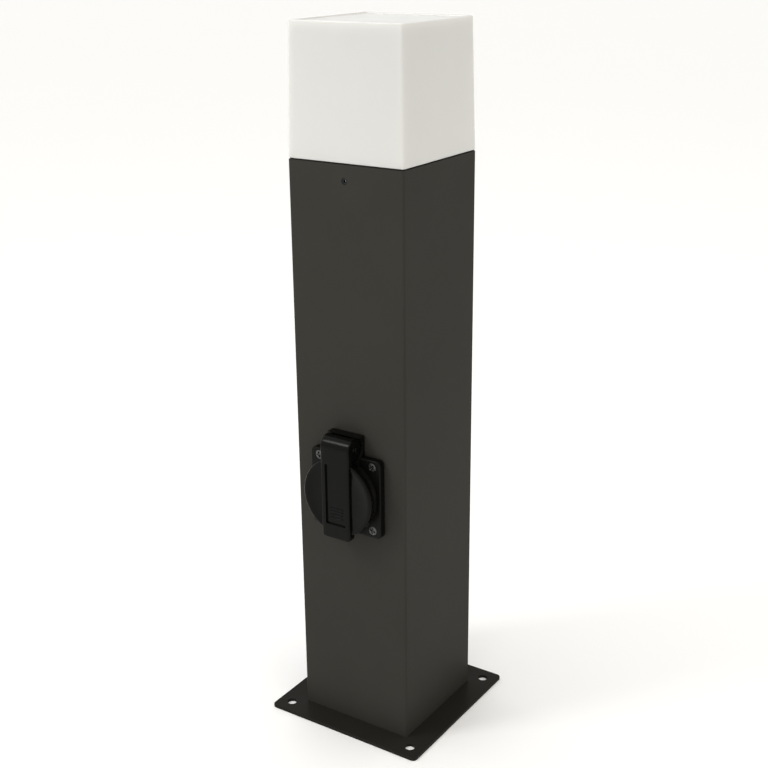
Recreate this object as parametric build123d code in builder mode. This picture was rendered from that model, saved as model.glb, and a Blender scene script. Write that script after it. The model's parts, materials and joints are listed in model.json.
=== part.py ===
from build123d import *
import os
from math import radians, tan

# Garden bollard light with a covered power socket. Millimetres, +Z up.
# The origin is the centre of the underside of the base plate. The socket faces -Y.

os.makedirs("parts", exist_ok=True)

# Base plate and cable bushing
plate_width = 113.4
plate_thickness = 2.0
plate_corner = 3.0
plate_edge = 0.4
anchor_inset = 9.5
anchor_bore = 6.5
bushing_hole = 22.0
bushing_flange = 28.0
bushing_flange_height = 2.5
cable_bore = 11.0

# Post: square tube standing on the plate
post_width = 80.0
post_length = 366.3
post_wall = 1.5
post_corner = 1.5

# Opal cap over the post
cap_height = 77.1
cap_draft = 1.7
cap_corner = 1.5
cap_roof = 2.5
cap_rim = 2.2
cap_rim_height = 0.8
skirt_length = 16.0
skirt_wall = 2.0
skirt_clearance = 0.3
seal_thickness = 0.8
seal_setback = 0.5
set_screw_drop = 9.4
set_screw_size = 4.0
set_screw_reach = 3.0
set_screw_recess = 0.4

# Lamp bracket hung on the back wall
bracket_thickness = 2.0
bracket_width = 60.0
bracket_drop = 92.0
bracket_reach = 24.0
bracket_bend = 1.5
shelf_below_top = 47.0
bracket_screw = 4.0
bracket_nut = 7.0
nut_height = 3.2
lower_screw_above_edge = 8.0
upper_screw_below_shelf = 13.0

# Terminal block on the bracket
block_depth = 14.0
block_height = 20.0
block_side = 6.0
block_below_shelf = 38.0
barrel_size = 5.0
barrel_bore = 3.2
barrel_inset = 2.0
terminal_screw = 2.6
terminal_screw_spacing = 9.0
block_screw = 2.5

# Lampholder and lamp
holder_flange = 40.0
holder_flange_height = 4.0
holder_size = 37.0
holder_floor = 9.0
holder_contact = 3.0
holder_lamp_gap = 0.8
shell_wall = 0.5
holder_screw_spacing = 24.0
holder_screw = 3.0
lamp_thread = 26.2
lamp_cap_height = 24.0
lamp_cap_wall = 0.4
lamp_contact_size = 9.0
lamp_contact_height = 2.4
lamp_body_height = 20.0
lamp_globe = 45.0
lamp_globe_wall = 1.2
lamp_mouth = 40.0
led_board = 30.0

# Panel socket: flange, collar and rear cup
socket_height = 167.6
flange_width = 51.3
flange_tall = 51.5
flange_corner = 3.2
flange_thickness = 4.5
flange_edge = 0.8
gasket_thickness = 1.0
flange_screw_x = 39.0
flange_screw_z = 42.0
flange_screw = 3.0
flange_screw_head = 5.8
flange_screw_length = 14.0
collar_size = 46.5
collar_length = 4.7
collar_lip = 1.0
cup_size = 45.6
cup_wall = 1.6
cup_clearance = 0.8
insert_depth = 17.5
insert_wall = 1.4
insert_floor = 16.0
pin_pitch = 19.0
pin_hole = 5.5
pin_bore = 4.9
sleeve_size = 7.0
sleeve_start = 2.0
terminal_gap = 1.5
terminal_depth = 6.0
earth_width = 4.4
earth_thickness = 1.0
earth_inset = 1.2
earth_reach = 11.0
cover_depth = 10.0
cover_wall = 1.6

# Hinged lid
lid_size = 49.8
lid_gap = 0.5
lid_thickness = 4.3
lid_edge = 0.9
band_width = 20.6
band_front = 1.6
band_drop = 27.4
band_corner = 3.0
panel_rim = 3.0
panel_low = 17.8
panel_high = 21.7
panel_depth = 1.2
hood_radius = 7.0
hood_wall = 1.8
hinge_rise = 32.0
hinge_pin_size = 2.5
cheek_width = 2.5
knuckle_size = 9.0
neck_width = 4.0
hinge_block_depth = 8.0
hinge_block_margin = 1.2
lid_seal_width = 1.8
lid_seal_depth = 1.5
lid_seal_gap = 0.3
spring_wire = 0.7
spring_end = 0.64
spring_radius = 2.6
spring_turns = 5
spring_space = 5.0
spring_tang = 2.0

# Wires
wire_size = 2.4

# Fits
slip = 0.1
screw_clearance = 0.15
turning_fit = 0.05
body_gap = 0.3

# Places that follow from the sizes above
post_top = plate_thickness + post_length
face = post_width / 2
inner_width = post_width - 2 * post_wall
inner_face = inner_width / 2
anchor_pitch = plate_width - 2 * anchor_inset
cap_base = post_top + seal_thickness
cap_top = cap_base + cap_height
skirt_width = inner_width - 2 * skirt_clearance
cap_bore = skirt_width - 2 * skirt_wall
set_screw_z = post_top - set_screw_drop
dimple_depth = set_screw_reach - post_wall - skirt_clearance
shelf_top = post_top - shelf_below_top
shelf_under = shelf_top - bracket_thickness
tab_front = inner_face - bracket_thickness
tab_bottom = shelf_top - bracket_drop
upper_screw_z = shelf_under - upper_screw_below_shelf
lower_screw_z = tab_bottom + lower_screw_above_edge
pole_pitch = pin_pitch / 2
terminal_width = pole_pitch - terminal_gap
block_width = 2 * pole_pitch + 2 * block_side
block_top = shelf_under - block_below_shelf
block_bottom = block_top - block_height
pole_y = tab_front - block_depth / 2
lamp_base = shelf_top + holder_floor + holder_contact
lamp_cap_base = lamp_base + lamp_contact_height
lamp_cap_top = lamp_cap_base + lamp_cap_height
lamp_body_top = lamp_cap_top + lamp_body_height
holder_height = lamp_cap_top - holder_lamp_gap - shelf_top
flange_front = gasket_thickness + flange_thickness
collar_front = flange_front + collar_length
insert_front = collar_front - collar_lip - slip
well_floor = insert_front - insert_depth
insert_back = well_floor - insert_floor
cup_back = insert_back - cup_clearance
cup_length = gasket_thickness - cup_back
cover_back = cup_back - cover_depth
lid_back = collar_front + lid_gap
lid_front = lid_back + lid_thickness
band_face = lid_front + band_front
hinge_y = -(face + band_face - hood_radius)
hinge_z = socket_height + hinge_rise
cup_bore = cup_size - 2 * cup_wall
insert_size = cup_bore - 2 * slip
well_size = insert_size - 2 * insert_wall
cheek_inner = band_width / 2 - cheek_width
pole_places = [(-pole_pitch, 0), (0, 0), (pole_pitch, 0)]


def front_plane(out):
    """Plane parallel to the socket face, a distance out from it; +Z of the plane is -Y."""
    return Plane.XZ.offset(face + out)


def back_plane(out):
    """Plane parallel to the back face, a distance out from it; +Z of the plane is +Y."""
    return Plane(origin=(0, face + out, 0), x_dir=(1, 0, 0), z_dir=(0, 1, 0))


def finish(builder, name):
    """Label a finished piece, say if it is unsound, and write it."""
    builder.part.label = name
    if not builder.part.is_valid:
        print("unsound:", name)
    export_step(builder.part, "parts/" + name + ".step")


# ---- base plate ----
with BuildPart() as base_plate:
    with BuildSketch():
        RectangleRounded(plate_width, plate_width, plate_corner)
        with GridLocations(anchor_pitch, anchor_pitch, 2, 2):
            Circle(anchor_bore / 2, mode=Mode.SUBTRACT)
        Circle(bushing_hole / 2, mode=Mode.SUBTRACT)
    extrude(amount=plate_thickness)
    rim = base_plate.faces().sort_by(Axis.Z)[-1].outer_wire().edges()
    fillet(rim, plate_edge)
finish(base_plate, "base_plate")

with BuildPart() as cable_bushing:
    with BuildSketch():
        Circle(bushing_hole / 2 - slip)
    extrude(amount=plate_thickness)
    with BuildSketch(Plane.XY.offset(plate_thickness)):
        Circle(bushing_flange / 2)
    extrude(amount=bushing_flange_height)
    chamfer(cable_bushing.edges().sort_by(Axis.Z)[-1], bushing_flange_height / 3)
    with BuildSketch():
        Circle(cable_bore / 2)
    extrude(amount=plate_thickness + bushing_flange_height, mode=Mode.SUBTRACT)
finish(cable_bushing, "cable_bushing")

# ---- post ----
flange_screw_bore = flange_screw + 2 * screw_clearance
with BuildPart() as post_tube:
    with BuildSketch(Plane.XY.offset(plate_thickness)):
        RectangleRounded(post_width, post_width, post_corner)
        Rectangle(inner_width, inner_width, mode=Mode.SUBTRACT)
    extrude(amount=post_length)
    with BuildSketch(front_plane(0)):
        with Locations((0, socket_height)):
            Circle(cup_size / 2 + body_gap)
            with GridLocations(flange_screw_x, flange_screw_z, 2, 2):
                Circle(flange_screw_bore / 2)
        with Locations((0, set_screw_z)):
            Circle(set_screw_size / 2 + turning_fit)
    extrude(amount=-post_wall, mode=Mode.SUBTRACT)
    with BuildSketch(back_plane(0)):
        with Locations((0, -set_screw_z)):
            Circle(set_screw_size / 2 + turning_fit)
        with Locations((0, -upper_screw_z), (0, -lower_screw_z)):
            Circle(bracket_screw / 2 + screw_clearance)
    extrude(amount=-post_wall, mode=Mode.SUBTRACT)
finish(post_tube, "post_tube")

# ---- opal cap ----
with BuildPart() as diffuser:
    with BuildSketch(Plane.XY.offset(cap_base)):
        RectangleRounded(post_width, post_width, cap_corner)
    with BuildSketch(Plane.XY.offset(cap_top)):
        RectangleRounded(post_width - 2 * cap_draft, post_width - 2 * cap_draft, cap_corner)
    loft()
    fillet(diffuser.faces().sort_by(Axis.Z)[-1].edges(), cap_rim_height)
    with BuildSketch(Plane.XY.offset(cap_top)):
        tray = post_width - 2 * cap_draft - 2 * cap_rim
        RectangleRounded(tray, tray, cap_corner)
    extrude(amount=-cap_rim_height, mode=Mode.SUBTRACT)
    with BuildSketch(Plane.XY.offset(cap_base)):
        RectangleRounded(skirt_width, skirt_width, cap_corner)
    extrude(amount=-skirt_length)
    with BuildSketch(Plane.XY.offset(cap_base - skirt_length)):
        RectangleRounded(cap_bore, cap_bore, cap_corner)
    extrude(amount=skirt_length + cap_height - cap_rim_height - cap_roof, mode=Mode.SUBTRACT)
    with BuildSketch(front_plane(-post_wall - skirt_clearance)):
        with Locations((0, set_screw_z)):
            Circle(set_screw_size / 2 + screw_clearance)
    extrude(amount=-dimple_depth, mode=Mode.SUBTRACT)
    with BuildSketch(back_plane(-post_wall - skirt_clearance)):
        with Locations((0, -set_screw_z)):
            Circle(set_screw_size / 2 + screw_clearance)
    extrude(amount=-dimple_depth, mode=Mode.SUBTRACT)
finish(diffuser, "diffuser")

with BuildPart() as diffuser_seal:
    with BuildSketch(Plane.XY.offset(post_top)):
        seal_width = post_width - 2 * seal_setback
        RectangleRounded(seal_width, seal_width, post_corner)
        RectangleRounded(skirt_width + slip, skirt_width + slip, cap_corner, mode=Mode.SUBTRACT)
    extrude(amount=seal_thickness)
finish(diffuser_seal, "diffuser_seal")

with BuildPart() as set_screws:
    for plane, height in ((front_plane, set_screw_z), (back_plane, -set_screw_z)):
        with BuildSketch(plane(-set_screw_recess)):
            with Locations((0, height)):
                Circle(set_screw_size / 2)
        extrude(amount=set_screw_recess - set_screw_reach)
        with BuildSketch(plane(-set_screw_recess)):
            with Locations((0, height)):
                RegularPolygon(set_screw_size / 4, 6)
        extrude(amount=-set_screw_reach / 2, mode=Mode.SUBTRACT)
finish(set_screws, "set_screws")

# ---- lamp bracket and what it carries ----
with BuildPart() as lamp_bracket:
    with BuildSketch(Plane.YZ.offset(-bracket_width / 2)):
        with BuildLine():
            Polyline(
                (-bracket_reach, shelf_under),
                (tab_front, shelf_under),
                (tab_front, tab_bottom),
                (inner_face, tab_bottom),
                (inner_face, shelf_top),
                (-bracket_reach, shelf_top),
                close=True,
            )
        make_face()
    extrude(amount=bracket_width)
    bend_edges = lamp_bracket.edges().filter_by(Axis.X).group_by(Axis.Y)
    inner_bend = [e for e in bend_edges[1] if e.center().Z > tab_bottom + bracket_thickness]
    outer_bend = [e for e in bend_edges[-1] if e.center().Z > tab_bottom + bracket_thickness]
    fillet(inner_bend, bracket_bend)
    fillet(outer_bend, bracket_bend)
    with BuildSketch(Plane.XY.offset(shelf_under)):
        with Locations((-pole_pitch, 0), (pole_pitch, 0)):
            Circle(wire_size)
        with Locations((0, -holder_screw_spacing / 2), (0, holder_screw_spacing / 2)):
            Circle(holder_screw / 2 + screw_clearance)
    extrude(amount=bracket_thickness, mode=Mode.SUBTRACT)
    with BuildSketch(back_plane(-post_wall)):
        with Locations((0, -upper_screw_z), (0, -lower_screw_z)):
            Circle(bracket_screw / 2 + screw_clearance)
        with Locations((-pole_pitch / 2, -block_top + block_height / 2)):
            Circle(block_screw / 2)
        with Locations((pole_pitch / 2, -block_top + block_height / 2)):
            Circle(block_screw / 2)
    extrude(amount=-bracket_thickness, mode=Mode.SUBTRACT)
finish(lamp_bracket, "lamp_bracket")

lug_thickness = 0.8
screw_stack = post_wall + bracket_thickness + lug_thickness + nut_height + 1.0
with BuildPart() as bracket_screws:
    with BuildSketch(back_plane(0)):
        with Locations((0, -upper_screw_z), (0, -lower_screw_z)):
            Circle(bracket_screw)
    extrude(amount=bracket_screw * 0.6)
    fillet(bracket_screws.faces().group_by(Axis.Y)[-1].edges(), bracket_screw * 0.2)
    with BuildSketch(back_plane(bracket_screw * 0.6)):
        with Locations((0, -upper_screw_z), (0, -lower_screw_z)):
            Rectangle(bracket_screw * 1.1, bracket_screw * 0.22)
            Rectangle(bracket_screw * 0.22, bracket_screw * 1.1)
    extrude(amount=-bracket_screw * 0.35, mode=Mode.SUBTRACT)
    with BuildSketch(back_plane(0)):
        with Locations((0, -upper_screw_z), (0, -lower_screw_z)):
            Circle(bracket_screw / 2)
    extrude(amount=-screw_stack)
finish(bracket_screws, "bracket_screws")

with BuildPart() as bracket_nuts:
    for height, stand in ((upper_screw_z, lug_thickness), (lower_screw_z, 0)):
        with BuildSketch(back_plane(-post_wall - bracket_thickness - stand)):
            with Locations((0, -height)):
                RegularPolygon(bracket_nut / 2, 6, major_radius=False)
                Circle(bracket_screw / 2 + turning_fit, mode=Mode.SUBTRACT)
        extrude(amount=-nut_height)
finish(bracket_nuts, "bracket_nuts")

barrel_length = block_height - 2 * barrel_inset
block_middle = block_top - block_height / 2
block_front_y = tab_front - block_depth
screw_drops = (-terminal_screw_spacing / 2, terminal_screw_spacing / 2)
screw_places = [(x, block_middle + dz) for x, _ in pole_places for dz in screw_drops]
block_screw_places = [(-pole_pitch / 2, block_middle), (pole_pitch / 2, block_middle)]
block_face = Plane.XZ.offset(-block_front_y)
with BuildPart() as terminal_block:
    with BuildSketch(Plane.XY.offset(block_bottom)):
        with Locations((0, pole_y)):
            Rectangle(block_width, block_depth)
            with Locations(*pole_places):
                Circle(barrel_size / 2 + slip, mode=Mode.SUBTRACT)
    extrude(amount=block_height)
    with BuildSketch(block_face):
        with Locations(*screw_places):
            Circle(terminal_screw / 2 + 2 * screw_clearance)
    extrude(amount=-block_depth / 2, mode=Mode.SUBTRACT)
    with BuildSketch(block_face):
        with Locations(*block_screw_places):
            Circle(block_screw / 2 + screw_clearance)
    extrude(amount=-block_depth, mode=Mode.SUBTRACT)
finish(terminal_block, "terminal_block")

with BuildPart() as terminal_barrels:
    with BuildSketch(Plane.XY.offset(block_bottom + barrel_inset)):
        with Locations((0, pole_y)):
            with Locations(*pole_places):
                Circle(barrel_size / 2)
                Circle(barrel_bore / 2, mode=Mode.SUBTRACT)
    extrude(amount=barrel_length)
    with BuildSketch(block_face):
        with Locations(*screw_places):
            Circle(terminal_screw / 2 + turning_fit)
    extrude(amount=-block_depth / 2, mode=Mode.SUBTRACT)
finish(terminal_barrels, "terminal_barrels")

screw_tip = (block_depth - wire_size) / 2 - slip
with BuildPart() as terminal_screws:
    with BuildSketch(block_face.offset(-2.0)):
        with Locations(*screw_places):
            Circle(terminal_screw / 2)
    extrude(amount=2.0 - screw_tip)
    with BuildSketch(block_face.offset(-2.0)):
        with Locations(*screw_places):
            Rectangle(terminal_screw, terminal_screw * 0.2)
    extrude(amount=-terminal_screw * 0.3, mode=Mode.SUBTRACT)
finish(terminal_screws, "terminal_screws")

with BuildPart() as block_screws:
    with BuildSketch(block_face):
        with Locations(*block_screw_places):
            Circle(block_screw * 0.9)
    extrude(amount=block_screw * 0.6)
    with BuildSketch(block_face):
        with Locations(*block_screw_places):
            Circle(block_screw / 2 - turning_fit)
    extrude(amount=-block_depth - bracket_thickness)
    with BuildSketch(block_face.offset(block_screw * 0.6)):
        with Locations(*block_screw_places):
            Rectangle(block_screw * 1.8, block_screw * 0.2)
    extrude(amount=-block_screw * 0.3, mode=Mode.SUBTRACT)
finish(block_screws, "block_screws")

# Earth lug under the upper nut, with its crimp barrel pointing down
lug_size = 9.0
crimp_length = 6.0
crimp_size = 4.4
crimp_y = tab_front - crimp_size / 2
crimp_top = upper_screw_z - lug_size / 2 - 1.0
with BuildPart() as earth_lug:
    with BuildSketch(back_plane(-post_wall - bracket_thickness)):
        with Locations((0, -upper_screw_z)):
            Circle(lug_size / 2)
        with Locations((0, -upper_screw_z + lug_size / 2)):
            Rectangle(crimp_size, lug_size / 2 + 3.0)
        with Locations((0, -upper_screw_z)):
            Circle(bracket_screw / 2 + screw_clearance, mode=Mode.SUBTRACT)
    extrude(amount=-lug_thickness)
    with BuildSketch(Plane.XY.offset(crimp_top)):
        with Locations((0, crimp_y)):
            Circle(crimp_size / 2)
    extrude(amount=-crimp_length)
    with BuildSketch(Plane.XY.offset(crimp_top - crimp_length)):
        with Locations((0, crimp_y)):
            Circle(wire_size / 2 + slip)
    extrude(amount=crimp_length - 1.0, mode=Mode.SUBTRACT)
finish(earth_lug, "earth_lug")

# ---- lampholder ----
holder_bore = lamp_thread + 2 * shell_wall + 2 * slip + 2 * body_gap
wire_entry = holder_flange_height
with BuildPart() as lampholder_body:
    with BuildSketch(Plane.XY.offset(shelf_top)):
        Circle(holder_flange / 2)
    extrude(amount=holder_flange_height)
    with BuildSketch(Plane.XY.offset(shelf_top)):
        Circle(holder_size / 2)
    extrude(amount=holder_height)
    fillet(lampholder_body.faces().sort_by(Axis.Z)[-1].edges(), 1.2)
    with BuildSketch(Plane.XY.offset(shelf_top + holder_floor)):
        Circle(holder_bore / 2)
    extrude(amount=holder_height - holder_floor, mode=Mode.SUBTRACT)
    with BuildSketch(Plane.XY.offset(shelf_top)):
        with Locations((-pole_pitch, 0), (pole_pitch, 0)):
            Circle(wire_size / 2 + slip)
    extrude(amount=wire_entry, mode=Mode.SUBTRACT)
    with BuildSketch(Plane.XY.offset(shelf_top)):
        with Locations((0, -holder_screw_spacing / 2), (0, holder_screw_spacing / 2)):
            Circle(holder_screw / 2)
    extrude(amount=holder_floor - 2.0, mode=Mode.SUBTRACT)
finish(lampholder_body, "lampholder_body")

with BuildPart() as lampholder_shell:
    with BuildSketch(Plane.XY.offset(shelf_top + holder_floor)):
        Circle(holder_bore / 2 - slip)
        Circle(holder_bore / 2 - slip - shell_wall, mode=Mode.SUBTRACT)
    extrude(amount=lamp_cap_height + lamp_contact_height)
finish(lampholder_shell, "lampholder_shell")

with BuildPart() as lampholder_contact:
    with BuildSketch(Plane.XY.offset(shelf_top + holder_floor)):
        Circle(lamp_contact_size / 2)
    extrude(amount=holder_contact)
    fillet(lampholder_contact.edges().sort_by(Axis.Z)[-1], 0.8)
finish(lampholder_contact, "lampholder_contact")

with BuildPart() as lampholder_screws:
    with BuildSketch(Plane.XY.offset(shelf_under)):
        with Locations((0, -holder_screw_spacing / 2), (0, holder_screw_spacing / 2)):
            Circle(holder_screw * 0.95)
    extrude(amount=-holder_screw * 0.6)
    with BuildSketch(Plane.XY.offset(shelf_under)):
        with Locations((0, -holder_screw_spacing / 2), (0, holder_screw_spacing / 2)):
            Circle(holder_screw / 2 - turning_fit)
    extrude(amount=bracket_thickness + holder_floor - 3.0)
finish(lampholder_screws, "lampholder_screws")

# ---- screw-in lamp ----
with BuildPart() as lamp_contact:
    with BuildSketch(Plane.XY.offset(lamp_base)):
        Circle(lamp_contact_size / 2 - 1.0)
    extrude(amount=lamp_contact_height)
    fillet(lamp_contact.edges().sort_by(Axis.Z)[0], 0.8)
finish(lamp_contact, "lamp_contact")

thread_turns = 6
thread_rise = 2.8
with BuildPart() as lamp_cap:
    with BuildSketch(Plane.XY.offset(lamp_cap_base)):
        Circle(lamp_thread / 2 - 1.0)
    extrude(amount=lamp_cap_height)
    for turn in range(thread_turns):
        ring_z = lamp_cap_base + 2.4 + turn * thread_rise
        with BuildSketch(Plane.XY.offset(ring_z)):
            Circle(lamp_thread / 2)
        extrude(amount=thread_rise / 2)
    with BuildSketch(Plane.XY.offset(lamp_cap_base + 2.0)):
        Circle(lamp_thread / 2 - 1.0 - lamp_cap_wall)
    extrude(amount=lamp_cap_height - 2.0, mode=Mode.SUBTRACT)
finish(lamp_cap, "lamp_cap")

with BuildPart() as lamp_body:
    with BuildSketch(Plane.XY.offset(lamp_cap_top)):
        Circle(lamp_thread / 2 + 0.4)
    with BuildSketch(Plane.XY.offset(lamp_body_top)):
        Circle(lamp_mouth / 2)
    loft()
    with BuildSketch(Plane.XY.offset(lamp_body_top)):
        Circle(led_board / 2 + slip)
    extrude(amount=-3.0, mode=Mode.SUBTRACT)
    with BuildSketch(Plane.XY.offset(lamp_cap_top)):
        Circle(lamp_thread / 2 - 2.0)
    extrude(amount=lamp_body_height - 6.0, mode=Mode.SUBTRACT)
finish(lamp_body, "lamp_body")

with BuildPart() as lamp_led_board:
    with BuildSketch(Plane.XY.offset(lamp_body_top - 3.0)):
        Circle(led_board / 2)
    extrude(amount=1.6)
    with BuildSketch(Plane.XY.offset(lamp_body_top - 1.4)):
        with PolarLocations(led_board / 3, 8):
            Rectangle(2.8, 2.8)
    extrude(amount=0.8)
finish(lamp_led_board, "lamp_led_board")

# The globe is a sphere cut off where its diameter has come down to the mouth
globe_rise = ((lamp_globe / 2) ** 2 - (lamp_mouth / 2) ** 2) ** 0.5
globe_z = lamp_body_top + globe_rise
with BuildPart() as lamp_globe_shell:
    with Locations((0, 0, globe_z)):
        Sphere(lamp_globe / 2)
        Sphere(lamp_globe / 2 - lamp_globe_wall, mode=Mode.SUBTRACT)
    split(bisect_by=Plane.XY.offset(lamp_body_top), keep=Keep.TOP)
finish(lamp_globe_shell, "lamp_globe")

# ---- panel socket ----
with BuildPart() as socket_gasket:
    with BuildSketch(front_plane(0)):
        with Locations((0, socket_height)):
            RectangleRounded(flange_width - 1.0, flange_tall - 1.0, flange_corner - 0.5)
            Circle(cup_size / 2 + slip, mode=Mode.SUBTRACT)
            with GridLocations(flange_screw_x, flange_screw_z, 2, 2):
                Circle(flange_screw_bore / 2, mode=Mode.SUBTRACT)
    extrude(amount=gasket_thickness)
finish(socket_gasket, "socket_gasket")

hinge_place = (hinge_y, hinge_z)
block_base = socket_height + collar_size / 2 - 1.5
block_peak = hinge_z + hood_radius
block_half = band_width / 2 + hinge_block_margin
knuckle_left = -(cheek_inner - body_gap)
knuckle_right = cheek_inner - body_gap - spring_space
with BuildPart() as socket_housing:
    with BuildSketch(front_plane(gasket_thickness)):
        with Locations((0, socket_height)):
            RectangleRounded(flange_width, flange_tall, flange_corner)
    extrude(amount=flange_thickness)
    fillet(socket_housing.faces().sort_by(Axis.Y)[0].edges(), flange_edge)
    with BuildSketch(front_plane(flange_front)):
        with Locations((0, socket_height)):
            Circle(collar_size / 2)
    extrude(amount=collar_length)
    with BuildSketch(front_plane(gasket_thickness)):
        with Locations((0, socket_height)):
            Circle(cup_size / 2)
    extrude(amount=-cup_length)
    # hinge block standing on the flange, hollowed round the lid's hood
    with BuildSketch(Plane.YZ.offset(-block_half)):
        with Locations((-(face + gasket_thickness), block_base)):
            Rectangle(hinge_block_depth, block_peak - block_base, align=(Align.MAX, Align.MIN))
    extrude(amount=2 * block_half)
    with BuildSketch(Plane.YZ.offset(-block_half)):
        with Locations(hinge_place):
            Circle(hood_radius + body_gap)
    extrude(amount=2 * block_half, mode=Mode.SUBTRACT)
    # knuckle on a neck that leans back and down, clear of the opening hood
    with BuildSketch(Plane.YZ.offset(knuckle_left)):
        with Locations(hinge_place):
            Circle(knuckle_size / 2)
            with Locations(Rotation(0, 0, -45)):
                Rectangle(hood_radius + 2.0, neck_width, align=(Align.MIN, Align.CENTER))
    extrude(amount=knuckle_right - knuckle_left)
    with BuildSketch(Plane.YZ.offset(knuckle_left)):
        with Locations(hinge_place):
            Circle(hinge_pin_size / 2 + turning_fit)
    extrude(amount=knuckle_right - knuckle_left, mode=Mode.SUBTRACT)
    with BuildSketch(Plane.YZ.offset(knuckle_right)):
        with Locations((hinge_y, hinge_z + spring_radius)):
            Circle(spring_wire / 2 + slip)
    extrude(amount=-spring_tang, mode=Mode.SUBTRACT)
    # bore for the insert, with a lip in front, and the screw holes
    with BuildSketch(front_plane(collar_front - collar_lip)):
        with Locations((0, socket_height)):
            Circle(cup_bore / 2)
    extrude(amount=-(collar_front - collar_lip - cup_back), mode=Mode.SUBTRACT)
    with BuildSketch(front_plane(collar_front)):
        with Locations((0, socket_height)):
            Circle(well_size / 2)
    extrude(amount=-collar_lip, mode=Mode.SUBTRACT)
    with BuildSketch(front_plane(flange_front)):
        with Locations((0, socket_height)):
            with GridLocations(flange_screw_x, flange_screw_z, 2, 2):
                Circle(flange_screw_bore / 2)
    extrude(amount=-flange_thickness, mode=Mode.SUBTRACT)
    with BuildSketch(front_plane(flange_front)):
        with Locations((0, socket_height)):
            with GridLocations(flange_screw_x, flange_screw_z, 2, 2):
                Circle(flange_screw_head / 2 + screw_clearance)
    extrude(amount=-flange_screw_head * 0.35, mode=Mode.SUBTRACT)
finish(socket_housing, "socket_housing")

with BuildPart() as flange_screws:
    with BuildSketch(front_plane(flange_front)):
        with Locations((0, socket_height)):
            with GridLocations(flange_screw_x, flange_screw_z, 2, 2):
                Circle(flange_screw_head / 2)
    extrude(amount=-flange_screw_head * 0.35)
    with BuildSketch(front_plane(flange_front)):
        with Locations((0, socket_height)):
            with GridLocations(flange_screw_x, flange_screw_z, 2, 2):
                Circle(flange_screw / 2)
    extrude(amount=-flange_screw_length)
    with BuildSketch(front_plane(flange_front)):
        with Locations((0, socket_height)):
            with GridLocations(flange_screw_x, flange_screw_z, 2, 2):
                Rectangle(flange_screw_head * 0.62, flange_screw_head * 0.14)
                Rectangle(flange_screw_head * 0.14, flange_screw_head * 0.62)
    extrude(amount=-flange_screw_head * 0.22, mode=Mode.SUBTRACT)
finish(flange_screws, "flange_screws")

# The two earth arms lie along the well wall, above and below the pins
arm_z = well_size / 2 - earth_inset - earth_thickness / 2
pin_places = [(-pole_pitch, socket_height), (pole_pitch, socket_height)]
arm_places = [(0, socket_height + arm_z), (0, socket_height - arm_z)]
with BuildPart() as socket_insert:
    with BuildSketch(front_plane(insert_front)):
        with Locations((0, socket_height)):
            Circle(insert_size / 2)
    extrude(amount=-(insert_front - insert_back))
    with BuildSketch(front_plane(insert_front)):
        with Locations((0, socket_height)):
            Circle(well_size / 2)
    extrude(amount=-insert_depth, mode=Mode.SUBTRACT)
    with BuildSketch(front_plane(well_floor)):
        with Locations(*pin_places):
            Circle(pin_hole / 2)
        with Locations(*arm_places):
            Rectangle(earth_width + 2 * slip, earth_thickness + 2 * slip)
    extrude(amount=-insert_floor, mode=Mode.SUBTRACT)
    with BuildSketch(front_plane(insert_back)):
        with Locations(*pin_places):
            Circle(sleeve_size / 2 + slip)
    extrude(amount=insert_floor - sleeve_start, mode=Mode.SUBTRACT)
finish(socket_insert, "socket_insert")

sleeve_length = insert_floor - sleeve_start - slip
with BuildPart() as pin_contacts:
    with BuildSketch(front_plane(insert_back)):
        with Locations(*pin_places):
            Circle(sleeve_size / 2)
    extrude(amount=sleeve_length)
    with BuildSketch(front_plane(insert_back)):
        with Locations(*pin_places):
            Rectangle(terminal_width, terminal_width)
    extrude(amount=-terminal_depth)
    with BuildSketch(front_plane(insert_back + sleeve_length)):
        with Locations(*pin_places):
            Circle(pin_bore / 2)
    extrude(amount=-sleeve_length, mode=Mode.SUBTRACT)
    with BuildSketch(front_plane(insert_back - terminal_depth)):
        with Locations(*pin_places):
            Circle(wire_size / 2 + slip)
    extrude(amount=terminal_depth - 1.0, mode=Mode.SUBTRACT)
    screw_y = -(face + insert_back - terminal_depth / 2)
    with BuildSketch(Plane.XY.offset(socket_height + terminal_width / 2)):
        with Locations((-pole_pitch, screw_y), (pole_pitch, screw_y)):
            Circle(terminal_screw / 2 + turning_fit)
    extrude(amount=-terminal_width / 2, mode=Mode.SUBTRACT)
finish(pin_contacts, "pin_contacts")

with BuildPart() as earth_strap:
    with BuildSketch(front_plane(insert_back)):
        with Locations(*arm_places):
            Rectangle(earth_width, earth_thickness)
    extrude(amount=insert_floor + earth_reach)
    with BuildSketch(front_plane(insert_back)):
        with Locations((0, socket_height)):
            Rectangle(earth_width, 2 * arm_z + earth_thickness)
            Rectangle(terminal_width, terminal_width)
    extrude(amount=-earth_thickness)
    with BuildSketch(front_plane(insert_back)):
        with Locations((0, socket_height)):
            Rectangle(terminal_width, terminal_width)
    extrude(amount=-terminal_depth)
    with BuildSketch(front_plane(insert_back - terminal_depth)):
        with Locations((0, socket_height)):
            Circle(wire_size / 2 + slip)
    extrude(amount=terminal_depth - 1.0, mode=Mode.SUBTRACT)
    with BuildSketch(Plane.XY.offset(socket_height + terminal_width / 2)):
        with Locations((0, screw_y)):
            Circle(terminal_screw / 2 + turning_fit)
    extrude(amount=-terminal_width / 2, mode=Mode.SUBTRACT)
finish(earth_strap, "earth_strap")

with BuildPart() as contact_screws:
    with BuildSketch(Plane.XY.offset(socket_height + wire_size / 2 + slip)):
        with Locations((-pole_pitch, screw_y), (0, screw_y), (pole_pitch, screw_y)):
            Circle(terminal_screw / 2)
    extrude(amount=terminal_width / 2)
finish(contact_screws, "contact_screws")

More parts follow.
